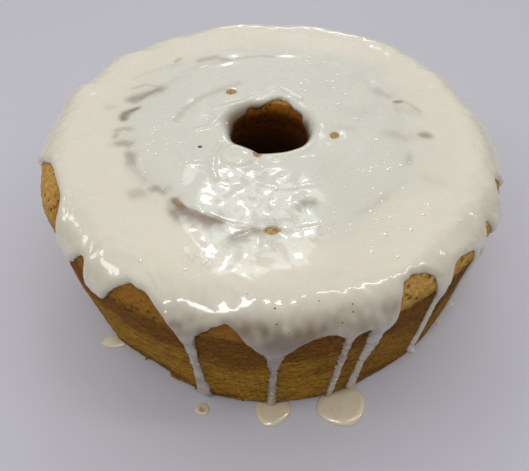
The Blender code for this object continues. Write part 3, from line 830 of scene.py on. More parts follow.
def finish_piece(obj, name, material, slot, *nodes):
    """Names a finished piece, gives it its finish and lets it stand for its CAD nodes."""
    obj.name = name
    obj.data.name = name
    obj.data.materials.clear()
    obj.data.materials.append(material)
    obj.data.shade_smooth()
    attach(obj, "root")
    if nodes:
        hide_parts(*nodes)
    return obj


# Materials --------------------------------------------------------------------------------------


class Signal:
    """An output socket that counts like a number."""

    def __init__(self, nodes, socket):
        self.nodes, self.socket = nodes, socket

    def __add__(self, other):
        return self.nodes.maths("ADD", self, other)

    def __sub__(self, other):
        return self.nodes.maths("SUBTRACT", self, other)

    def __rsub__(self, other):
        return self.nodes.maths("SUBTRACT", other, self)

    def __mul__(self, other):
        return self.nodes.maths("MULTIPLY", self, other)


class Nodes:
    """Short ways to add and join shader nodes in one tree."""

    def __init__(self, tree):
        self.tree = tree

    def add(self, kind, settings=None, **inputs):
        node = self.tree.nodes.new("ShaderNode" + kind)
        for key, value in (settings or {}).items():
            setattr(node, key, value)
        self.feed(node, **inputs)
        return node

    def feed(self, node, **inputs):
        """Joins or sets inputs, named with _ for a blank, or as i and their number."""
        for name, value in inputs.items():
            socket = node.inputs[int(name[1:]) if name[1:].isdigit() else name.replace("_", " ")]
            if isinstance(value, Signal):
                self.tree.links.new(value.socket, socket)
            elif socket.type == "RGBA":
                socket.default_value = (*tuple(value)[:3], 1)
            else:
                socket.default_value = value

    def out(self, name, kind, settings=None, **inputs):
        """One output of a new node."""
        return Signal(self, self.add(kind, settings, **inputs).outputs[name])

    def outs(self, kind, settings=None, **inputs):
        """The outputs of a new node by name."""
        return {socket.name: Signal(self, socket) for socket in self.add(kind, settings, **inputs).outputs}

    def maths(self, operation, one, other=0, clamp=False):
        return self.out(0, "Math", {"operation": operation, "use_clamp": clamp}, i0=one, i1=other)

    def span(self, value, low, high, to_low=0, to_high=1):
        """Runs softly from one value to another while its input goes from low to high."""
        ends = {"From_Min": low, "From_Max": high, "To_Min": to_low, "To_Max": to_high}
        return self.out("Result", "MapRange", {"interpolation_type": "SMOOTHSTEP"}, Value=value, **ends)

    def blend(self, value, ends, one, other, most=1):
        """One tone, giving way to the other while a value goes from one end to the other."""
        return self.mix(self.span(value, *ends, 0, most), one, other)

    def mix(self, share, one, other):
        return self.out(2, "Mix", {"data_type": "RGBA"}, i0=share, i6=one, i7=other)

    def noise(self, vector, scale, detail=3, roughness=0.5, distortion=0):
        shape = {"Detail": detail, "Roughness": roughness, "Distortion": distortion}
        return self.out("Fac", "TexNoise", Vector=vector, Scale=scale, **shape)

    def cells(self, vector, scale, feature="F1"):
        return self.outs("TexVoronoi", {"feature": feature}, Vector=vector, Scale=scale)

    def attribute(self, name):
        return self.out("Fac", "Attribute", {"attribute_name": name})

    def taller(self, vector, share):
        split = self.outs("SeparateXYZ", Vector=vector)
        return self.out(0, "CombineXYZ", X=split["X"], Y=split["Y"], Z=split["Z"] * share)

    def object_place(self):
        """The place on the object, its parts X, Y and Z, and its distance from the upright axis."""
        place = self.out("Object", "TexCoord")
        flat = self.out(0, "VectorMath", {"operation": "MULTIPLY"}, i0=place, i1=(1, 1, 0))
        reach = self.out("Value", "VectorMath", {"operation": "LENGTH"}, i0=flat)
        return place, self.outs("SeparateXYZ", Vector=place), reach


def shade(tone, share):
    return tuple(share * c for c in tone)


def fill_group(name, inputs, outputs, fill):
    """A shader group; fill takes its tools and its inputs, and gives its outputs in their order."""
    group = bpy.data.node_groups.new(name, "ShaderNodeTree")
    group.interface.new_socket("Vector", in_out="INPUT", socket_type="NodeSocketVector")
    for label, value in inputs.items():
        group.interface.new_socket(label, in_out="INPUT", socket_type="NodeSocketFloat").default_value = value
    for label in outputs:
        group.interface.new_socket(label, in_out="OUTPUT", socket_type="NodeSocketFloat")
    nodes = Nodes(group)
    given = [Signal(nodes, socket) for socket in group.nodes.new("NodeGroupInput").outputs]
    out = group.nodes.new("NodeGroupOutput").inputs
    for socket, value in zip(out, fill(nodes, *given[: len(inputs) + 1])):
        group.links.new(value.socket, socket)
    return group


def baked_crumb(nodes, vector, pore_size, openness, stretch):
    """Open pores, a fine grain and their height, stretched along the side."""
    vector = nodes.taller(vector, stretch)
    scale = nodes.maths("DIVIDE", 1, pore_size)
    cells = nodes.cells(vector, scale * 0.42)
    pick = nodes.out("Red", "SeparateColor", Color=cells["Color"])
    pit = nodes.span(cells["Distance"], 0.42, 0.16) * nodes.maths("LESS_THAN", pick, openness)
    pores = pit * nodes.span(nodes.noise(vector, scale * 0.9, 3, 0.6), 0.38, 0.62)
    grain = nodes.noise(vector, scale * 0.5, 5, 0.68)
    return pores, grain, grain - pores * 0.9


def wet_skin(nodes, vector, ripples, froth):
    """Slow ripples and, where it is frothy, cells and tiny bubbles: height in mm and gloss."""
    bend = nodes.out("Color", "TexNoise", Vector=vector, Scale=190, Detail=2)
    bent = nodes.out(0, "VectorMath", {"operation": "MULTIPLY_ADD"}, i0=bend, i1=[0.005] * 3, i2=vector)
    rim = nodes.span(nodes.cells(bent, 210, "DISTANCE_TO_EDGE")["Distance"], 0.10, 0) * 0.20
    rim = rim * nodes.span(nodes.noise(vector, 130, 2), 0.46, 0.60)
    tiny = nodes.cells(vector, 760)
    pick = nodes.out("Red", "SeparateColor", Color=tiny["Color"])
    dome = nodes.span(tiny["Distance"], 0.5, 0.1) * pick * 0.20
    wrinkles = nodes.noise(vector, 260, 3, 0.55, 0.6) * 0.42
    slow = nodes.noise(vector, 110, 2, 0.45, 0.3) * ripples
    return slow + (rim + dome + wrinkles) * froth, nodes.noise(vector, 60, 3, 0.6)


def kept_groups():
    """The shared shader groups, made once."""
    crumb = {"Pore Size": 0.0016, "Openness": 0.5, "Stretch": 1}, ("Pores", "Grain", "Height"), baked_crumb
    skin = {"Ripples": 0.2, "Froth": 0}, ("Height", "Gloss"), wet_skin
    found = bpy.data.node_groups
    return [found.get(fill.__name__) or fill_group(fill.__name__, *rest, fill) for *rest, fill in (crumb, skin)]


def new_material(name, roughness):
    """A material with its tools and its shader."""
    material = bpy.data.materials.new(name)
    material.use_nodes = True
    nodes = Nodes(material.node_tree)
    shader = material.node_tree.nodes["Principled BSDF"]
    nodes.feed(shader, Roughness=roughness)
    return material, nodes, shader


def crust_material(looks, crumb):
    """Two-tone baked crust: golden below, browner under the pan line, open tan crumb above it, with painted
    shade in the pores, along the pan line and down the hole.
    """
    material, nodes, shader = new_material("golden_crust", 0.82)
    place, parts, reach = nodes.object_place()
    height, sideways = parts["Z"], parts["X"]
    level = nodes.taller(place, 2.8)
    patches = nodes.noise(level, 30, 4, 0.6)
    streaks = nodes.noise(level, 150, 5, 0.72)
    broken = nodes.noise(place, 260, 4, 0.65)
    kind = {"node_tree": crumb}
    grain = nodes.outs("Group", kind, Vector=place, Stretch=2.2, Openness=0.40, Pore_Size=0.0010)
    coarse = nodes.outs("Group", kind, Vector=place, Stretch=1, Openness=0.62, Pore_Size=0.0014)

    # The baked side
    at = height + (patches - 0.5) * 0.08
    side = nodes.blend(at, GOLDEN_TO_BROWN, looks.golden, looks.brown)
    side = nodes.blend(streaks, (0.46, 0.66), side, shade(looks.brown, 0.8), 0.85)
    side = nodes.blend(streaks, (0.40, 0.30), side, shade(looks.golden, 1.25), 0.5)
    side = nodes.blend(at, DARK_FOOT, side, shade(looks.brown, 0.75), 0.85)
    side = nodes.blend(sideways, BROWNER_RIGHT, side, looks.brown, 0.4)

    # The open crumb above the pan line, browned on the left and in flecks
    line = height + (patches - 0.5) * 0.007 + (broken - 0.5) * 0.009
    above = nodes.span(line, *PAN_LINE)
    browned = nodes.span(sideways, *BROWNED_CRUMB, 0.15, 0.85) * nodes.span(sideways, *PALE_AT_LEFT, 0.1, 1)
    browned = nodes.maths("MAXIMUM", browned, nodes.span(broken, 0.50, 0.66, 0, 0.45))
    tone = nodes.mix(above, side, nodes.mix(browned, looks.crumb, looks.brown))
    # A dark line along the pan line's groove in the pores' shade tone: painted shade in the groove
    seam = nodes.span(line, *SEAM_SHADE_TOP) * nodes.span(line, *SEAM_SHADE_FOOT)
    tone = nodes.mix(seam * 0.55, tone, looks.pore)

    # Grain, and pores darkened with painted shade
    light = nodes.span(grain["Grain"], 0.32, 0.70, 0.55, 1.50)
    light = light + above * (nodes.span(grain["Grain"], 0.32, 0.70, 0.86, 1.36) - light)
    tone = nodes.out(0, "VectorMath", {"operation": "SCALE"}, i0=tone, Scale=light)
    pores = nodes.maths("ADD", coarse["Pores"] * above, grain["Pores"] * (1 - above), True)
    tone = nodes.mix(pores * 0.70, tone, looks.pore)

    # The hole's wall, with painted shade that grows darker with depth
    wall = nodes.span(height, *BELOW_LIP) * nodes.span(reach, *INTO_HOLE)
    wall = nodes.maths("MAXIMUM", nodes.span(reach, *HOLE_WALL), wall) * 0.97
    lit, dim = [tuple(share * c for share, c in zip(shares, looks.brown)) for shares in HOLE_SHADE_TONES]
    inside = nodes.blend(height, HOLE_MOUTH, lit, dim)
    inside = nodes.blend(height, HOLE_SHADE_DEPTH, inside, shade(dim, 0.35))
    tone = nodes.mix(wall, tone, inside)

    rise = nodes.out(
        0, "Mix", {"data_type": "FLOAT"}, i0=above, i2=grain["Height"] + streaks * 0.5, i3=coarse["Height"]
    )
    normal = nodes.out("Normal", "Bump", Strength=1, Distance=0.0011, Height=rise)
    nodes.feed(shader, Base_Color=tone, Normal=normal, Specular_IOR_Level=0.12)
    return material


def poured_tone(nodes, looks, place, height, reach):
    """The poured icing's tone, how bare it is, its coat and its ripples."""
    clouds = nodes.noise(place, 26, 3, 0.55)
    at = reach + (clouds - 0.5) * 0.05
    tone = nodes.blend(at, CREAM_RING, looks.icing, looks.cream)
    # Thin places take the show-through tone: the crust seen through the icing, and painted shade
    thin = nodes.attribute("thin")
    tone = nodes.blend(thin, (0, MOST_SHOWN_AND_SHADED_AT_HEM), tone, looks.show)
    # Where thinnest, the crust's own tone; down the hole a darker brown, painted shade
    shaded_hole = nodes.span(reach, *INTO_HOLE) * nodes.span(height, *BELOW_TOP)
    shown_and_shaded = nodes.mix(shaded_hole, shade(looks.crumb, 0.55), shade(looks.brown, 0.45))
    tone = nodes.blend(thin, (MOST_SHOWN_AND_SHADED_AT_HEM, 1), tone, shown_and_shaded)
    specks = nodes.noise(place, 900, 3, 0.6)
    bare = nodes.span(nodes.attribute("bare") + (specks - 0.5) * 0.5, 0.42, 0.58)
    tone = nodes.mix(bare, tone, nodes.blend(specks, (0.36, 0.56), looks.brown, looks.tan))
    dull = nodes.span(thin, 0.42, 0.85, 0, 0.8) * nodes.span(reach, *GLOSSY_SIDE)
    coat = nodes.span(bare, 0, 1, 0.9, 0) * nodes.span(dull, 0, 1, 1, 0)
    return tone, bare, coat, nodes.span(at, *RIPPLED_MIDDLE, 0.10, 0.26)


def run_out_tone(nodes, looks, place, parts):
    """Tone of the puddles, and of the bare middle of the smallest."""
    clouds = nodes.noise(place, 160, 2)
    tone = nodes.blend(clouds, (0.3, 0.7), looks.puddle, looks.icing, 0.35)
    ring = PUDDLES["puddle_drop"]
    x, y = parts["X"] - ring.x * MM, parts["Y"] - ring.y * MM
    return nodes.blend(x * x + y * y, (5e-6, 1e-6), tone, looks.tan, 0.8)


def icing_material(looks, skin, name, plain=False):
    """Glossy icing: poured, with thin places that take up the crust's colour and painted shade, or plain in
    puddles.
    """
    material, nodes, shader = new_material(name, 0.2)
    place, parts, reach = nodes.object_place()
    wet = nodes.add("Group", {"node_tree": skin}, Vector=place)
    height_in_mm, gloss = [Signal(nodes, socket) for socket in wet.outputs]
    gloss = nodes.span(gloss, 0.35, 0.65, 0.22, 0.34)
    if plain:
        tone, coat = run_out_tone(nodes, looks, place, parts), 1
        nodes.feed(wet, Ripples=0.06)
    else:
        tone, bare, coat, ripples = poured_tone(nodes, looks, place, parts["Z"], reach)
        gloss = nodes.maths("ADD", gloss, bare * 0.5, True)
        nodes.feed(wet, Ripples=ripples, Froth=nodes.attribute("froth"))
    normal = nodes.out("Normal", "Bump", Strength=1, Distance=0.001, Height=height_in_mm)
    nodes.feed(shader, Base_Color=tone, Roughness=gloss, Normal=normal, Coat_Weight=coat, Coat_Roughness=0.04)
    nodes.feed(shader, Subsurface_Weight=0.25, Subsurface_Radius=(1, 0.8, 0.55), Subsurface_Scale=0.002)
    return material


def plain_material(name, tone, roughness, spots, share, **more):
    """A tone with a faint noise of a darker one."""
    material, nodes, shader = new_material(name, roughness)
    cloud = nodes.noise(nodes.out("Object", "TexCoord"), spots, 3)
    nodes.feed(shader, Base_Color=nodes.blend(cloud, (0.3, 0.7), tone, shade(tone, 0.8), share), **more)
    return material


# Pieces -----------------------------------------------------------------------------------------


def crust_outline(form, sizes):
    """Radius and height of each step round the whole section, with the base and its edges."""

    def along(*stretches):
        ways = np.concatenate([np.linspace(*stretch)[1:] for stretch in stretches])
        return np.stack(form.section(ways), axis=1)

    pan_way = form.flat + form.shoulder
    hole_end = sizes.lip_drop + sizes.hole_edge - sizes.top_height - form.lip
    down = along((pan_way, form.flat, 24), (form.flat, 0, 16), (0, -form.lip, 8), (-form.lip, hole_end, 36))
    outer = form.side_radius(sizes.foot_edge) - sizes.foot_edge
    base = np.linspace((sizes.hole_foot_radius + sizes.hole_edge, 0), (outer, 0), 7)
    angle = np.linspace(0, math.pi / 2, 6)[1:]
    foot = np.stack([outer + sizes.foot_edge * np.sin(angle), sizes.foot_edge * (1 - np.cos(angle))], axis=1)
    up = along((form.foot_way - sizes.foot_edge, pan_way, 60))
    return np.concatenate([down, base, foot, up])


def crust_swell(azimuth, radius, height, points, sizes):
    """Small relief of the baked crust along its normal: streaks, crumb, the pan's line, a torn flake."""
    fine = waves(points * (1, 1, 3), *STREAKS)
    crumbs = waves(points, *OPEN_CRUMB)
    above = height - sizes.pan_line
    swell = fine + (crumbs - fine) * over(above, 0, 3)
    swell -= 0.5 * MM * bell(above - waves(points, PAN_LINE_SWAY), 0.9)
    flake = turn_between(azimuth, FLAKE_START)
    torn = smooth(1 - flake / FLAKE_WIDTH) * smooth(flake / 0.5 + 1) * over(-height, -7, 2.5)
    swell += 1.7 * MM * torn * (radius > 0.05)
    return np.where(height < 0.3 * MM, 0, swell)


def make_crust(sizes, material):
    """The whole baked cake: its section turned, set out of round and roughened."""
    form = Form(sizes)
    outline = crust_outline(form, sizes)
    crust, column, row = new_sheet("crust", sizes.turns, len(outline))
    move_to(crust.data, form.place(360 * column / sizes.turns - 180, *outline[row % len(outline)].T))
    merge_doubles(crust, 0.001 * MM)
    spots = places(crust.data)
    x, y, height = spots.T
    swell = crust_swell(np.degrees(np.arctan2(y, x)), np.hypot(x, y), height, spots, sizes)
    spots = spots + places(crust.data, "normal") * swell[:, None]
    spots[:, 2] = np.maximum(spots[:, 2], 0)
    move_to(crust.data, spots)
    return finish_piece(crust, "crust", material, "golden_crust", "cake")


def outline_tree(form, azimuths, ways, depth):
    """A tree of the places where the icing's outline crosses the grid's lines."""
    crossings = []
    for step in ((0, 1), (1, 0)):
        first = depth[: depth.shape[0] - step[0], : depth.shape[1] - step[1]]
        then = depth[step[0] :, step[1] :]
        rows, columns = np.nonzero((first > 0) != (then > 0))
        share = first[rows, columns] / (first[rows, columns] - then[rows, columns])
        azimuth = azimuths[columns] + share * (azimuths[columns + step[1]] - azimuths[columns])
        way = ways[rows] + share * (ways[rows + step[0]] - ways[rows])
        crossings.append(form.crust(azimuth, way))
    found = np.concatenate(crossings)
    tree = KDTree(len(found))
    for number, spot in enumerate(found):
        tree.insert(spot, number)
    tree.balance()
    return tree


def true_depth(form, sizes, azimuths, ways):
    """Distance to the icing's outline over a grid of places: positive inside it."""
    azimuth, way = np.meshgrid(azimuths, ways)
    rough = icing_depth(form, sizes, azimuth.ravel(), way.ravel()).reshape(azimuth.shape)
    tree = outline_tree(form, azimuths, ways, rough)
    radius = form.section(way.ravel())[0].reshape(way.shape)
    down, across = np.gradient(rough, ways, np.radians(azimuths))
    slope = np.maximum(np.hypot(down, across / radius), LEAST_SLOPE)
    spots = form.crust(azimuth.ravel(), way.ravel())
    far = np.array([tree.find(spot)[2] for spot in spots]).reshape(rough.shape)
    near = np.minimum(np.abs(rough) / slope, far)
    depth = np.clip(np.where(rough > 0, near, -near), -FAR, FAR)
    depth[:, -1] = depth[:, 0]
    return depth


def lay_grid(name, azimuths, ways, depth):
    """A flat grid whose X is the azimuth in degrees, Y the way and Z the depth, both in mm."""
    grid, column, row = new_sheet(name, len(azimuths) - 1, len(ways) - 1)
    move_to(grid.data, np.stack([azimuths[column], ways[row] / MM, depth[row, column] / MM], axis=1))
    return grid


def last_row(grid):
    """A grid's corners, and which of them lie in its last row."""
    spots = places(grid.data)
    return spots, spots[:, 1] > spots[:, 1].max() - SAME_PLACE


def double_last_row(grid, azimuths, depth):
    """Halves the edges of a grid's last row, so that it meets a grid of twice its columns."""
    last = last_row(grid)[1]
    edit(grid, "EDGE", "DESELECT")
    set_mode("OBJECT")
    for edge in grid.data.edges:
        edge.select = bool(last[edge.vertices[0]] and last[edge.vertices[1]])
    set_mode("EDIT")
    bpy.ops.mesh.subdivide(number_cuts=1)
    set_mode("OBJECT")
    spots, last = last_row(grid)
    spots[last, 2] = np.interp(spots[last, 0], azimuths, depth / MM)
    move_to(grid.data, spots)


def trim_to_outline(grid, sizes):
    """Cuts the grid off at the icing's outline and adds edge loops along it in the rounded edge."""
    edit(grid)
    bpy.ops.mesh.remove_doubles(threshold=SAME_PLACE)
    for share in (0, 0.1, 0.36):
        level = share * sizes.edge / MM
        bpy.ops.mesh.select_all(action="SELECT")
        bpy.ops.mesh.bisect(plane_co=(0, 0, level), plane_no=(0, 0, 1), clear_inner=not share, threshold=1e-5)
    set_mode("OBJECT")


def enclosed(spots, starts, ends):
    """Whether each flat spot is inside closed lines: a ray from it crosses them an odd number of times."""
    found = np.zeros(len(spots), dtype=int)
    for (x0, y0), (x1, y1) in zip(starts, ends):
        across = (y0 > spots[:, 1]) != (y1 > spots[:, 1])
        if y0 != y1:
            found += across & (spots[:, 0] < x0 + (spots[:, 1] - y0) / (y1 - y0) * (x1 - x0))
    return found % 2 == 1


def unfold(azimuths, ways):
    """Lays places on the crust flat as a ring, the hole's at its inner side."""
    angle = np.radians(azimuths)
    return (ways / MM + UNFOLDED_HOLE)[:, None] * np.stack([np.cos(angle), np.sin(angle)], axis=1)


def underside(form, sizes, azimuth, way, edges):
    """Faces of a sparse sheet on the crust, spanned between the icing's outlines."""
    used = np.unique(edges)
    border = unfold(azimuth[used], way[used])
    lines = np.searchsorted(used, edges)
    inner_ways = np.arange(-24.0, 90.0 + form.flat / MM, SHEET_STEP_MM) * MM
    azimuths, ways = [part.ravel() for part in np.meshgrid(np.arange(0.0, 360.0, SHEET_STEP), inner_ways)]
    deep = icing_depth(form, sizes, azimuths, ways) > SHEET_MARGIN
    azimuths, ways = azimuths[deep], ways[deep]
    coords = [Vector(spot) for spot in np.concatenate([border, unfold(azimuths, ways)])]
    verts, _, faces, origins, _, _ = delaunay_2d_cdt(coords, lines.tolist(), [], 1, 1e-7)
    flat = np.array([tuple(vert) for vert in verts])
    corners = np.array(faces)
    within = enclosed(flat[corners].mean(axis=1), *(border[side] for side in lines.T))
    below = form.crust(azimuths, ways) + form.outwards(azimuths, ways) * 0.1 * MM
    return used, below, corners[within], origins


def icing_grid(form, sizes):
    """The icing's upper face, still flat: azimuths, ways and depths of its vertices."""
    seam = form.flat - 3 * MM
    side_ways = np.linspace(seam, form.foot_way - 0.1 * MM, 122)
    side_azimuths = np.linspace(-180, 180, sizes.columns + 1)
    top_ways = np.interp(np.arange(92), (0, 12, 48, 91), (-32 * MM, -9 * MM, 12 * MM, seam))
    top_azimuths = side_azimuths[::2]
    side_depth = true_depth(form, sizes, side_azimuths, side_ways)
    top_depth = true_depth(form, sizes, top_azimuths, top_ways)
    top_depth[-1] = side_depth[0, ::2]
    icing = lay_grid("icing_side", side_azimuths, side_ways, side_depth)
    top = lay_grid("icing_top", top_azimuths, top_ways, top_depth)
    double_last_row(top, side_azimuths, side_depth[0])
    only(icing)
    top.select_set(True)
    bpy.ops.object.join()
    trim_to_outline(icing, sizes)
    return icing


def close_below(mesh, numbers, form, sizes, azimuth, way):
    """Adds the icing's lower face to the mesh of its upper face."""
    by_number = {vertex[numbers]: vertex for vertex in mesh.verts}
    border = np.array([[v[numbers] for v in edge.verts] for edge in mesh.edges if edge.is_boundary])
    used, below, faces, origins = underside(form, sizes, azimuth, way, border)
    fresh = [mesh.verts.new(spot) for spot in below]
    for vertex in fresh:
        vertex[numbers] = -1
    ends = [by_number[int(number)] for number in used] + fresh
    for face in faces:
        corners = [ends[origins[corner][0]] for corner in face]
        if len(set(corners)) == len(corners):
            mesh.faces.new(corners)
    bmesh.ops.recalc_face_normals(mesh, faces=mesh.faces)


def make_icing(cake, sizes, material):
    """The poured icing: its upper face laid on the crust, and a sparse lower face."""
    form = Form(cake)
    icing = icing_grid(form, sizes)
    azimuth, way, depth = places(icing.data).T * np.array([[1], [MM], [MM]])
    crust = form.crust(azimuth, way)
    thick = icing_thickness(form, sizes, azimuth, way, depth, crust)
    laid = crust + form.outwards(azimuth, way) * (thick - 0.05 * MM)[:, None]
    mesh = bmesh.new()
    mesh.from_mesh(icing.data)
    numbers = mesh.verts.layers.int.new("number")
    mesh.verts.ensure_lookup_table()
    for number, (vertex, spot) in enumerate(zip(mesh.verts, laid)):
        vertex.co = spot
        vertex[numbers] = number
    bmesh.ops.remove_doubles(mesh, verts=mesh.verts, dist=0.004 * MM)
    bmesh.ops.dissolve_degenerate(mesh, edges=mesh.edges, dist=0.002 * MM)
    if max(mesh.faces, key=lambda face: face.calc_center_median().z).normal.z < 0:
        bmesh.ops.reverse_faces(mesh, faces=mesh.faces)
    close_below(mesh, numbers, form, sizes, azimuth, way)
    kept = np.array([v[numbers] for v in mesh.verts])
    mesh.to_mesh(icing.data)
    mesh.free()
    on_top = (way > -8 * MM) * (way < form.flat)
    looks = {
        "froth": froth(crust) * (way > -2 * MM),
        # The thin attribute holds the crust showing through and the painted shade on the icing
        "thin": thinness(form, sizes, azimuth, way, crust),
        "bare": spot_mask(BARE_SPOTS, azimuth, form.section(way)[0]) * on_top,
    }
    for name, values in looks.items():
        attribute = icing.data.attributes.new(name, "FLOAT", "POINT")
        attribute.data.foreach_set("value", np.where(kept < 0, 0, values[kept]).astype(np.float32))
    icing.data.attributes.remove(icing.data.attributes["number"])
    return finish_piece(icing, "poured_icing", material, "white_icing", "icing")


def puddle_places(puddle, direction, reach):
    return puddle.x * MM + reach * np.cos(direction), puddle.y * MM + reach * np.sin(direction)


def puddle_reach(form, puddle, direction):
    """How far a puddle spreads from its centre: over its oval, or to just short of the cake."""
    local = direction - math.radians(puddle.turn)
    oval = np.hypot(np.cos(local) / puddle.half_length, np.sin(local) / puddle.half_breadth)
    reach = (1 + PUDDLE_WOBBLE * np.sin(3 * direction + puddle.x)) / oval * MM
    for _ in range(60):
        x, y = puddle_places(puddle, direction, reach)
        height = np.full_like(x, 0.001)
        foot = form.place(np.degrees(np.arctan2(y, x)), form.side_radius(height) - 1.2 * MM, height)
        inside = np.hypot(x, y) - np.hypot(foot[:, 0], foot[:, 1]) < PUDDLE_GAP
        reach = np.where(inside, reach - PUDDLE_STEP, reach)
    return np.maximum(reach * 0.99, 1 * MM)


def make_puddle(form, name, puddle, material):
    """A ball pressed flat below and pulled out to the puddle's outline, with a round edge."""
    deselect()
    bpy.ops.mesh.primitive_uv_sphere_add(segments=120, ring_count=32, radius=1)
    piece = bpy.context.object
    spots = places(piece.data)
    direction = np.arctan2(spots[:, 1], spots[:, 0])
    reach = puddle_reach(form, puddle, direction)
    thick = puddle.thickness * MM
    share = np.hypot(spots[:, 0], spots[:, 1])
    edge = np.clip((1 - share) * reach / (2.4 * thick), 0, 1)
    rise = thick * np.sqrt(1 - (1 - edge) ** 2)
    rise *= 1 - 0.12 * np.clip(share, 0, 1) ** 2
    if name == "puddle_drop":
        rise *= 1 - 0.55 * np.exp(-((share / 0.42) ** 2))
    x, y = puddle_places(puddle, direction, share * reach)
    move_to(piece.data, np.stack([x, y, np.where(spots[:, 2] > 0, rise, 0)], axis=1))
    return finish_piece(piece, "pool" + name[6:], material, "white_icing", name)


def scatter(name, shape, spots, material, slot):
    """Copies of a small shape, each turned, sized and set on its spot, as one piece."""
    deselect()
    bpy.ops.mesh.primitive_ico_sphere_add(subdivisions=2, radius=1)
    grain = bpy.context.object
    unit = places(grain.data)
    faces = [tuple(face.vertices) for face in grain.data.polygons]
    bpy.data.objects.remove(grain)
    points, rings = [], []
    for place, normal, size, seed in spots:
        body = shape(unit, np.random.default_rng(seed)) * size
        turn = Vector((0, 0, 1)).rotation_difference(Vector(normal)).to_matrix()
        offset = len(points) * len(unit)
        points.append(body @ np.array(turn).T + np.array(place))
        rings += [tuple(corner + offset for corner in face) for face in faces]
    mesh = bpy.data.meshes.new(name)
    mesh.from_pydata(np.concatenate(points).tolist(), [], rings)
    piece = bpy.data.objects.new(name, mesh)
    bpy.context.scene.collection.objects.link(piece)
    return finish_piece(piece, name, material, slot)


def flat_ball(narrowest, height):
    """A maker of flattened balls for scatter, each a little narrower one way."""
    return lambda unit, draw: unit * np.array([1, draw.uniform(narrowest, 1), height])


def crumb_shape(unit, draw):
    """A lumpy, uneven crumb."""
    lumps = 1 + 0.28 * ripple(unit * MM, 1.6, int(draw.integers(1 << 30)))
    return unit * lumps[:, None] * np.array([1, draw.uniform(0.6, 0.9), draw.uniform(0.5, 0.8)])


def surface_spots(wanted, seed):
    """Seeded places on the icing's upper face: asked for by azimuth, radius and size."""
    tree = BVHTree.FromObject(bpy.data.objects["poured_icing"], bpy.context.evaluated_depsgraph_get())
    spots = []
    for number, (azimuth, radius, size) in enumerate(wanted):
        angle = math.radians(azimuth)
        above = Vector((radius * math.cos(angle), radius * math.sin(angle), 0.2))
        hit, normal, _, _ = tree.ray_cast(above, Vector((0, 0, -1)))
        if hit is not None and normal.z > 0.3:
            spots.append((hit - normal * size * 0.12, normal, size, seed + number))
    return spots


def wanted_bubbles():
    """Azimuth, radius and size of each bubble: a few all over, most in clusters."""
    draw = random.Random(12)
    wanted = []
    for _ in range(80):
        radius = math.sqrt(draw.uniform(0.032**2, 0.112**2))
        wanted.append((draw.uniform(-180, 180), radius, draw.uniform(0.3, 0.6) * MM))
    for x, y, spread_x, spread_y, count in BUBBLE_CLUSTERS:
        for _ in range(count):
            spot_x, spot_y = draw.gauss(x, spread_x) * MM, draw.gauss(y, spread_y) * MM
            size = 0.35 + 0.75 * draw.random() ** 2
            wanted.append((math.degrees(math.atan2(spot_y, spot_x)), math.hypot(spot_x, spot_y), size * MM))
    return wanted


def crumb_spots(form):
    """Place, way up, size and seed of each crumb round the foot, every other one in front."""
    draw = random.Random(5)
    spots = []
    for number in range(18):
        azimuth = draw.uniform(-180, 180) if number % 2 else draw.uniform(-130, -60)
        size = draw.uniform(0.35, 0.8) * MM
        foot = form.place(np.array([azimuth]), np.array([form.sizes.foot_radius]), np.array([0.5 * MM]))[0]
        out = foot[:2] * (1 + (draw.uniform(-1.6, 0.4) * MM) / np.hypot(*foot[:2]))
        spots.append(((out[0], out[1], size * 1.2), (0, 0, 1), size, 300 + number))
    return spots


# Stage ------------------------------------------------------------------------------------------


def add_light(name, light, power):
    """An area light that faces the cake."""
    lamp = bpy.data.lights.new(name, "AREA")
    lamp.shape = "RECTANGLE"
    lamp.size, lamp.size_y = light.size
    lamp.energy = light.share * power
    lamp.color = light.tint
    lit = bpy.data.objects.new(name, lamp)
    lit.location = light.place
    facing = (Vector(LIGHTS_AIM) - Vector(light.place)).to_track_quat("-Z", "Y")
    lit.rotation_euler = (facing @ Quaternion((0, 0, 1), math.radians(light.turn))).to_euler()
    bpy.context.scene.collection.objects.link(lit)


def soft_dome(strength, horizon):
    """A surround that is brightest overhead and falls off towards the horizon."""
    world = bpy.data.worlds.new("surround")
    world.use_nodes = True
    nodes = Nodes(world.node_tree)
    way = nodes.out("Generated", "TexCoord")
    up = (0, math.sin(DOME_LEAN), math.cos(DOME_LEAN))
    facing = nodes.out("Value", "VectorMath", {"operation": "DOT_PRODUCT"}, i0=way, i1=up)
    rise = nodes.maths("POWER", nodes.maths("MAXIMUM", facing, 0), 2)
    share = rise * (1 - horizon) + horizon
    nodes.feed(world.node_tree.nodes["Background"], Color=(1, 0.985, 0.955), Strength=share * strength)
    return world


def add_camera():
    """The photo's camera, as it was fitted to the cake's outline."""
    lens = bpy.data.cameras.new("camera")
    lens.lens, lens.sensor_width = CAMERA_LENS
    lens.clip_start = 0.01
    camera = bpy.data.objects.new("camera", lens)
    camera.location = CAMERA_PLACE
    camera.rotation_euler = (math.pi / 2 - math.radians(CAMERA_DOWN), 0, 0)
    bpy.context.scene.collection.objects.link(camera)
    return camera


# Operators --------------------------------------------------------------------------------------


class Step:
    """What all operators share: each builds its pieces in the scene."""

    def execute(self, context):
        self.build(context.scene)
        return {"FINISHED"}


class CAKE_OT_crust(Step, bpy.types.Operator):
    """Make the baked cake with its crust, crumb and hole"""

    bl_idname = "cake.crust"
    bl_label = "Crust"

    def build(self, scene):
        crumb, _ = kept_groups()
        make_crust(scene.cake_sizes, crust_material(scene.cake_colours, crumb))


class CAKE_OT_icing(Step, bpy.types.Operator):
    """Pour the icing over the top, into the hole and down the side"""

    bl_idname = "cake.icing"
    bl_label = "Icing"

    def build(self, scene):
        _, skin = kept_groups()
        add_hidden_side()
        make_icing(scene.cake_sizes, scene.icing_sizes, icing_material(scene.cake_colours, skin, "white_icing"))


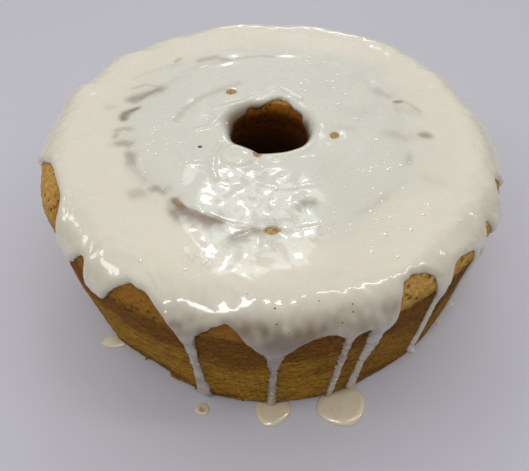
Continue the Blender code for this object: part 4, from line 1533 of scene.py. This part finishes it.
class CAKE_OT_puddles(Step, bpy.types.Operator):
    """Spread the puddles of icing round the foot"""

    bl_idname = "cake.puddles"
    bl_label = "Puddles"

    def build(self, scene):
        _, skin = kept_groups()
        material = icing_material(scene.cake_colours, skin, "run_out_icing", plain=True)
        for name, puddle in PUDDLES.items():
            make_puddle(Form(scene.cake_sizes), name, puddle, material)


class CAKE_OT_bubbles(Step, bpy.types.Operator):
    """Set small air bubbles and pinholes on the icing"""

    bl_idname = "cake.bubbles"
    bl_label = "Bubbles"

    def build(self, scene):
        # The bubbles' skin is brighter than the icing: a painted glint on each bubble
        tone = tuple(min(1, 1.45 * c) for c in scene.cake_colours.icing)
        skin = plain_material("bubble_skin", tone, 0.06, 400, 0.2, Coat_Weight=1, Coat_IOR=2)
        scatter("bubbles", flat_ball(0.8, 0.5), surface_spots(wanted_bubbles(), 100), skin, "white_icing")
        wanted = [(azimuth, radius * MM, size * MM) for azimuth, radius, size in PINHOLES]
        dark = plain_material("pinhole_shade", (0.09, 0.07, 0.05), 0.8, 400, 0.3)
        scatter("pinholes", flat_ball(0.7, 0.22), surface_spots(wanted, 500), dark, "white_icing")


class CAKE_OT_crumbs(Step, bpy.types.Operator):
    """Drop a few crumbs round the foot"""

    bl_idname = "cake.crumbs"
    bl_label = "Crumbs"

    def build(self, scene):
        crust = bpy.data.objects["crust"].data.materials[0]
        scatter("crumbs", crumb_shape, crumb_spots(Form(scene.cake_sizes)), crust, "golden_crust")


class CAKE_OT_stage(Step, bpy.types.Operator):
    """Set the pale floor, the soft lights and the camera"""

    bl_idname = "cake.stage"
    bl_label = "Stage"

    def build(self, scene):
        stage = scene.cake_stage
        deselect()
        bpy.ops.mesh.primitive_plane_add(size=6, location=(0, 0, 0))
        floor = bpy.context.object
        floor.name = "floor"
        floor.data.materials.append(plain_material("pale_floor", scene.cake_colours.floor, 0.7, 3, 0.05))
        for name, light in LIGHTS.items():
            add_light(name, light, getattr(stage, light.power))
        scene.world = soft_dome(stage.sky, stage.horizon)
        scene.camera = add_camera()
        scene.view_settings.view_transform = "Standard"


class VIEW3D_PT_cake(bpy.types.Panel):
    """Sizes, colours and pieces of the cake"""

    bl_label = "Iced pound cake"
    bl_idname = "VIEW3D_PT_cake"
    bl_space_type = "VIEW_3D"
    bl_region_type = "UI"
    bl_category = "Cake"

    def draw(self, context):
        scene = context.scene
        for group in (scene.cake_sizes, scene.icing_sizes, scene.cake_colours, scene.cake_stage):
            box = self.layout.box()
            for name in group.__annotations__:
                box.prop(group, name)
        for operator in OPERATORS:
            self.layout.operator(operator.bl_idname)


OPERATORS = (CAKE_OT_crust, CAKE_OT_icing, CAKE_OT_puddles, CAKE_OT_bubbles, CAKE_OT_crumbs, CAKE_OT_stage)
SETTINGS = {
    "cake_sizes": CakeSizes,
    "icing_sizes": IcingSizes,
    "cake_colours": CakeColours,
    "cake_stage": StageSizes,
}


def register():
    for kind in (*SETTINGS.values(), *OPERATORS, VIEW3D_PT_cake):
        bpy.utils.register_class(kind)
    for name, kind in SETTINGS.items():
        setattr(bpy.types.Scene, name, PointerProperty(type=kind))


def unregister():
    for name in SETTINGS:
        delattr(bpy.types.Scene, name)
    for kind in reversed((*SETTINGS.values(), *OPERATORS, VIEW3D_PT_cake)):
        bpy.utils.unregister_class(kind)


def main():
    register()
    bpy.ops.cake.crust()
    bpy.ops.cake.icing()
    bpy.ops.cake.puddles()
    bpy.ops.cake.bubbles()
    bpy.ops.cake.crumbs()
    bpy.ops.cake.stage()


if __name__ == "__main__":
    main()
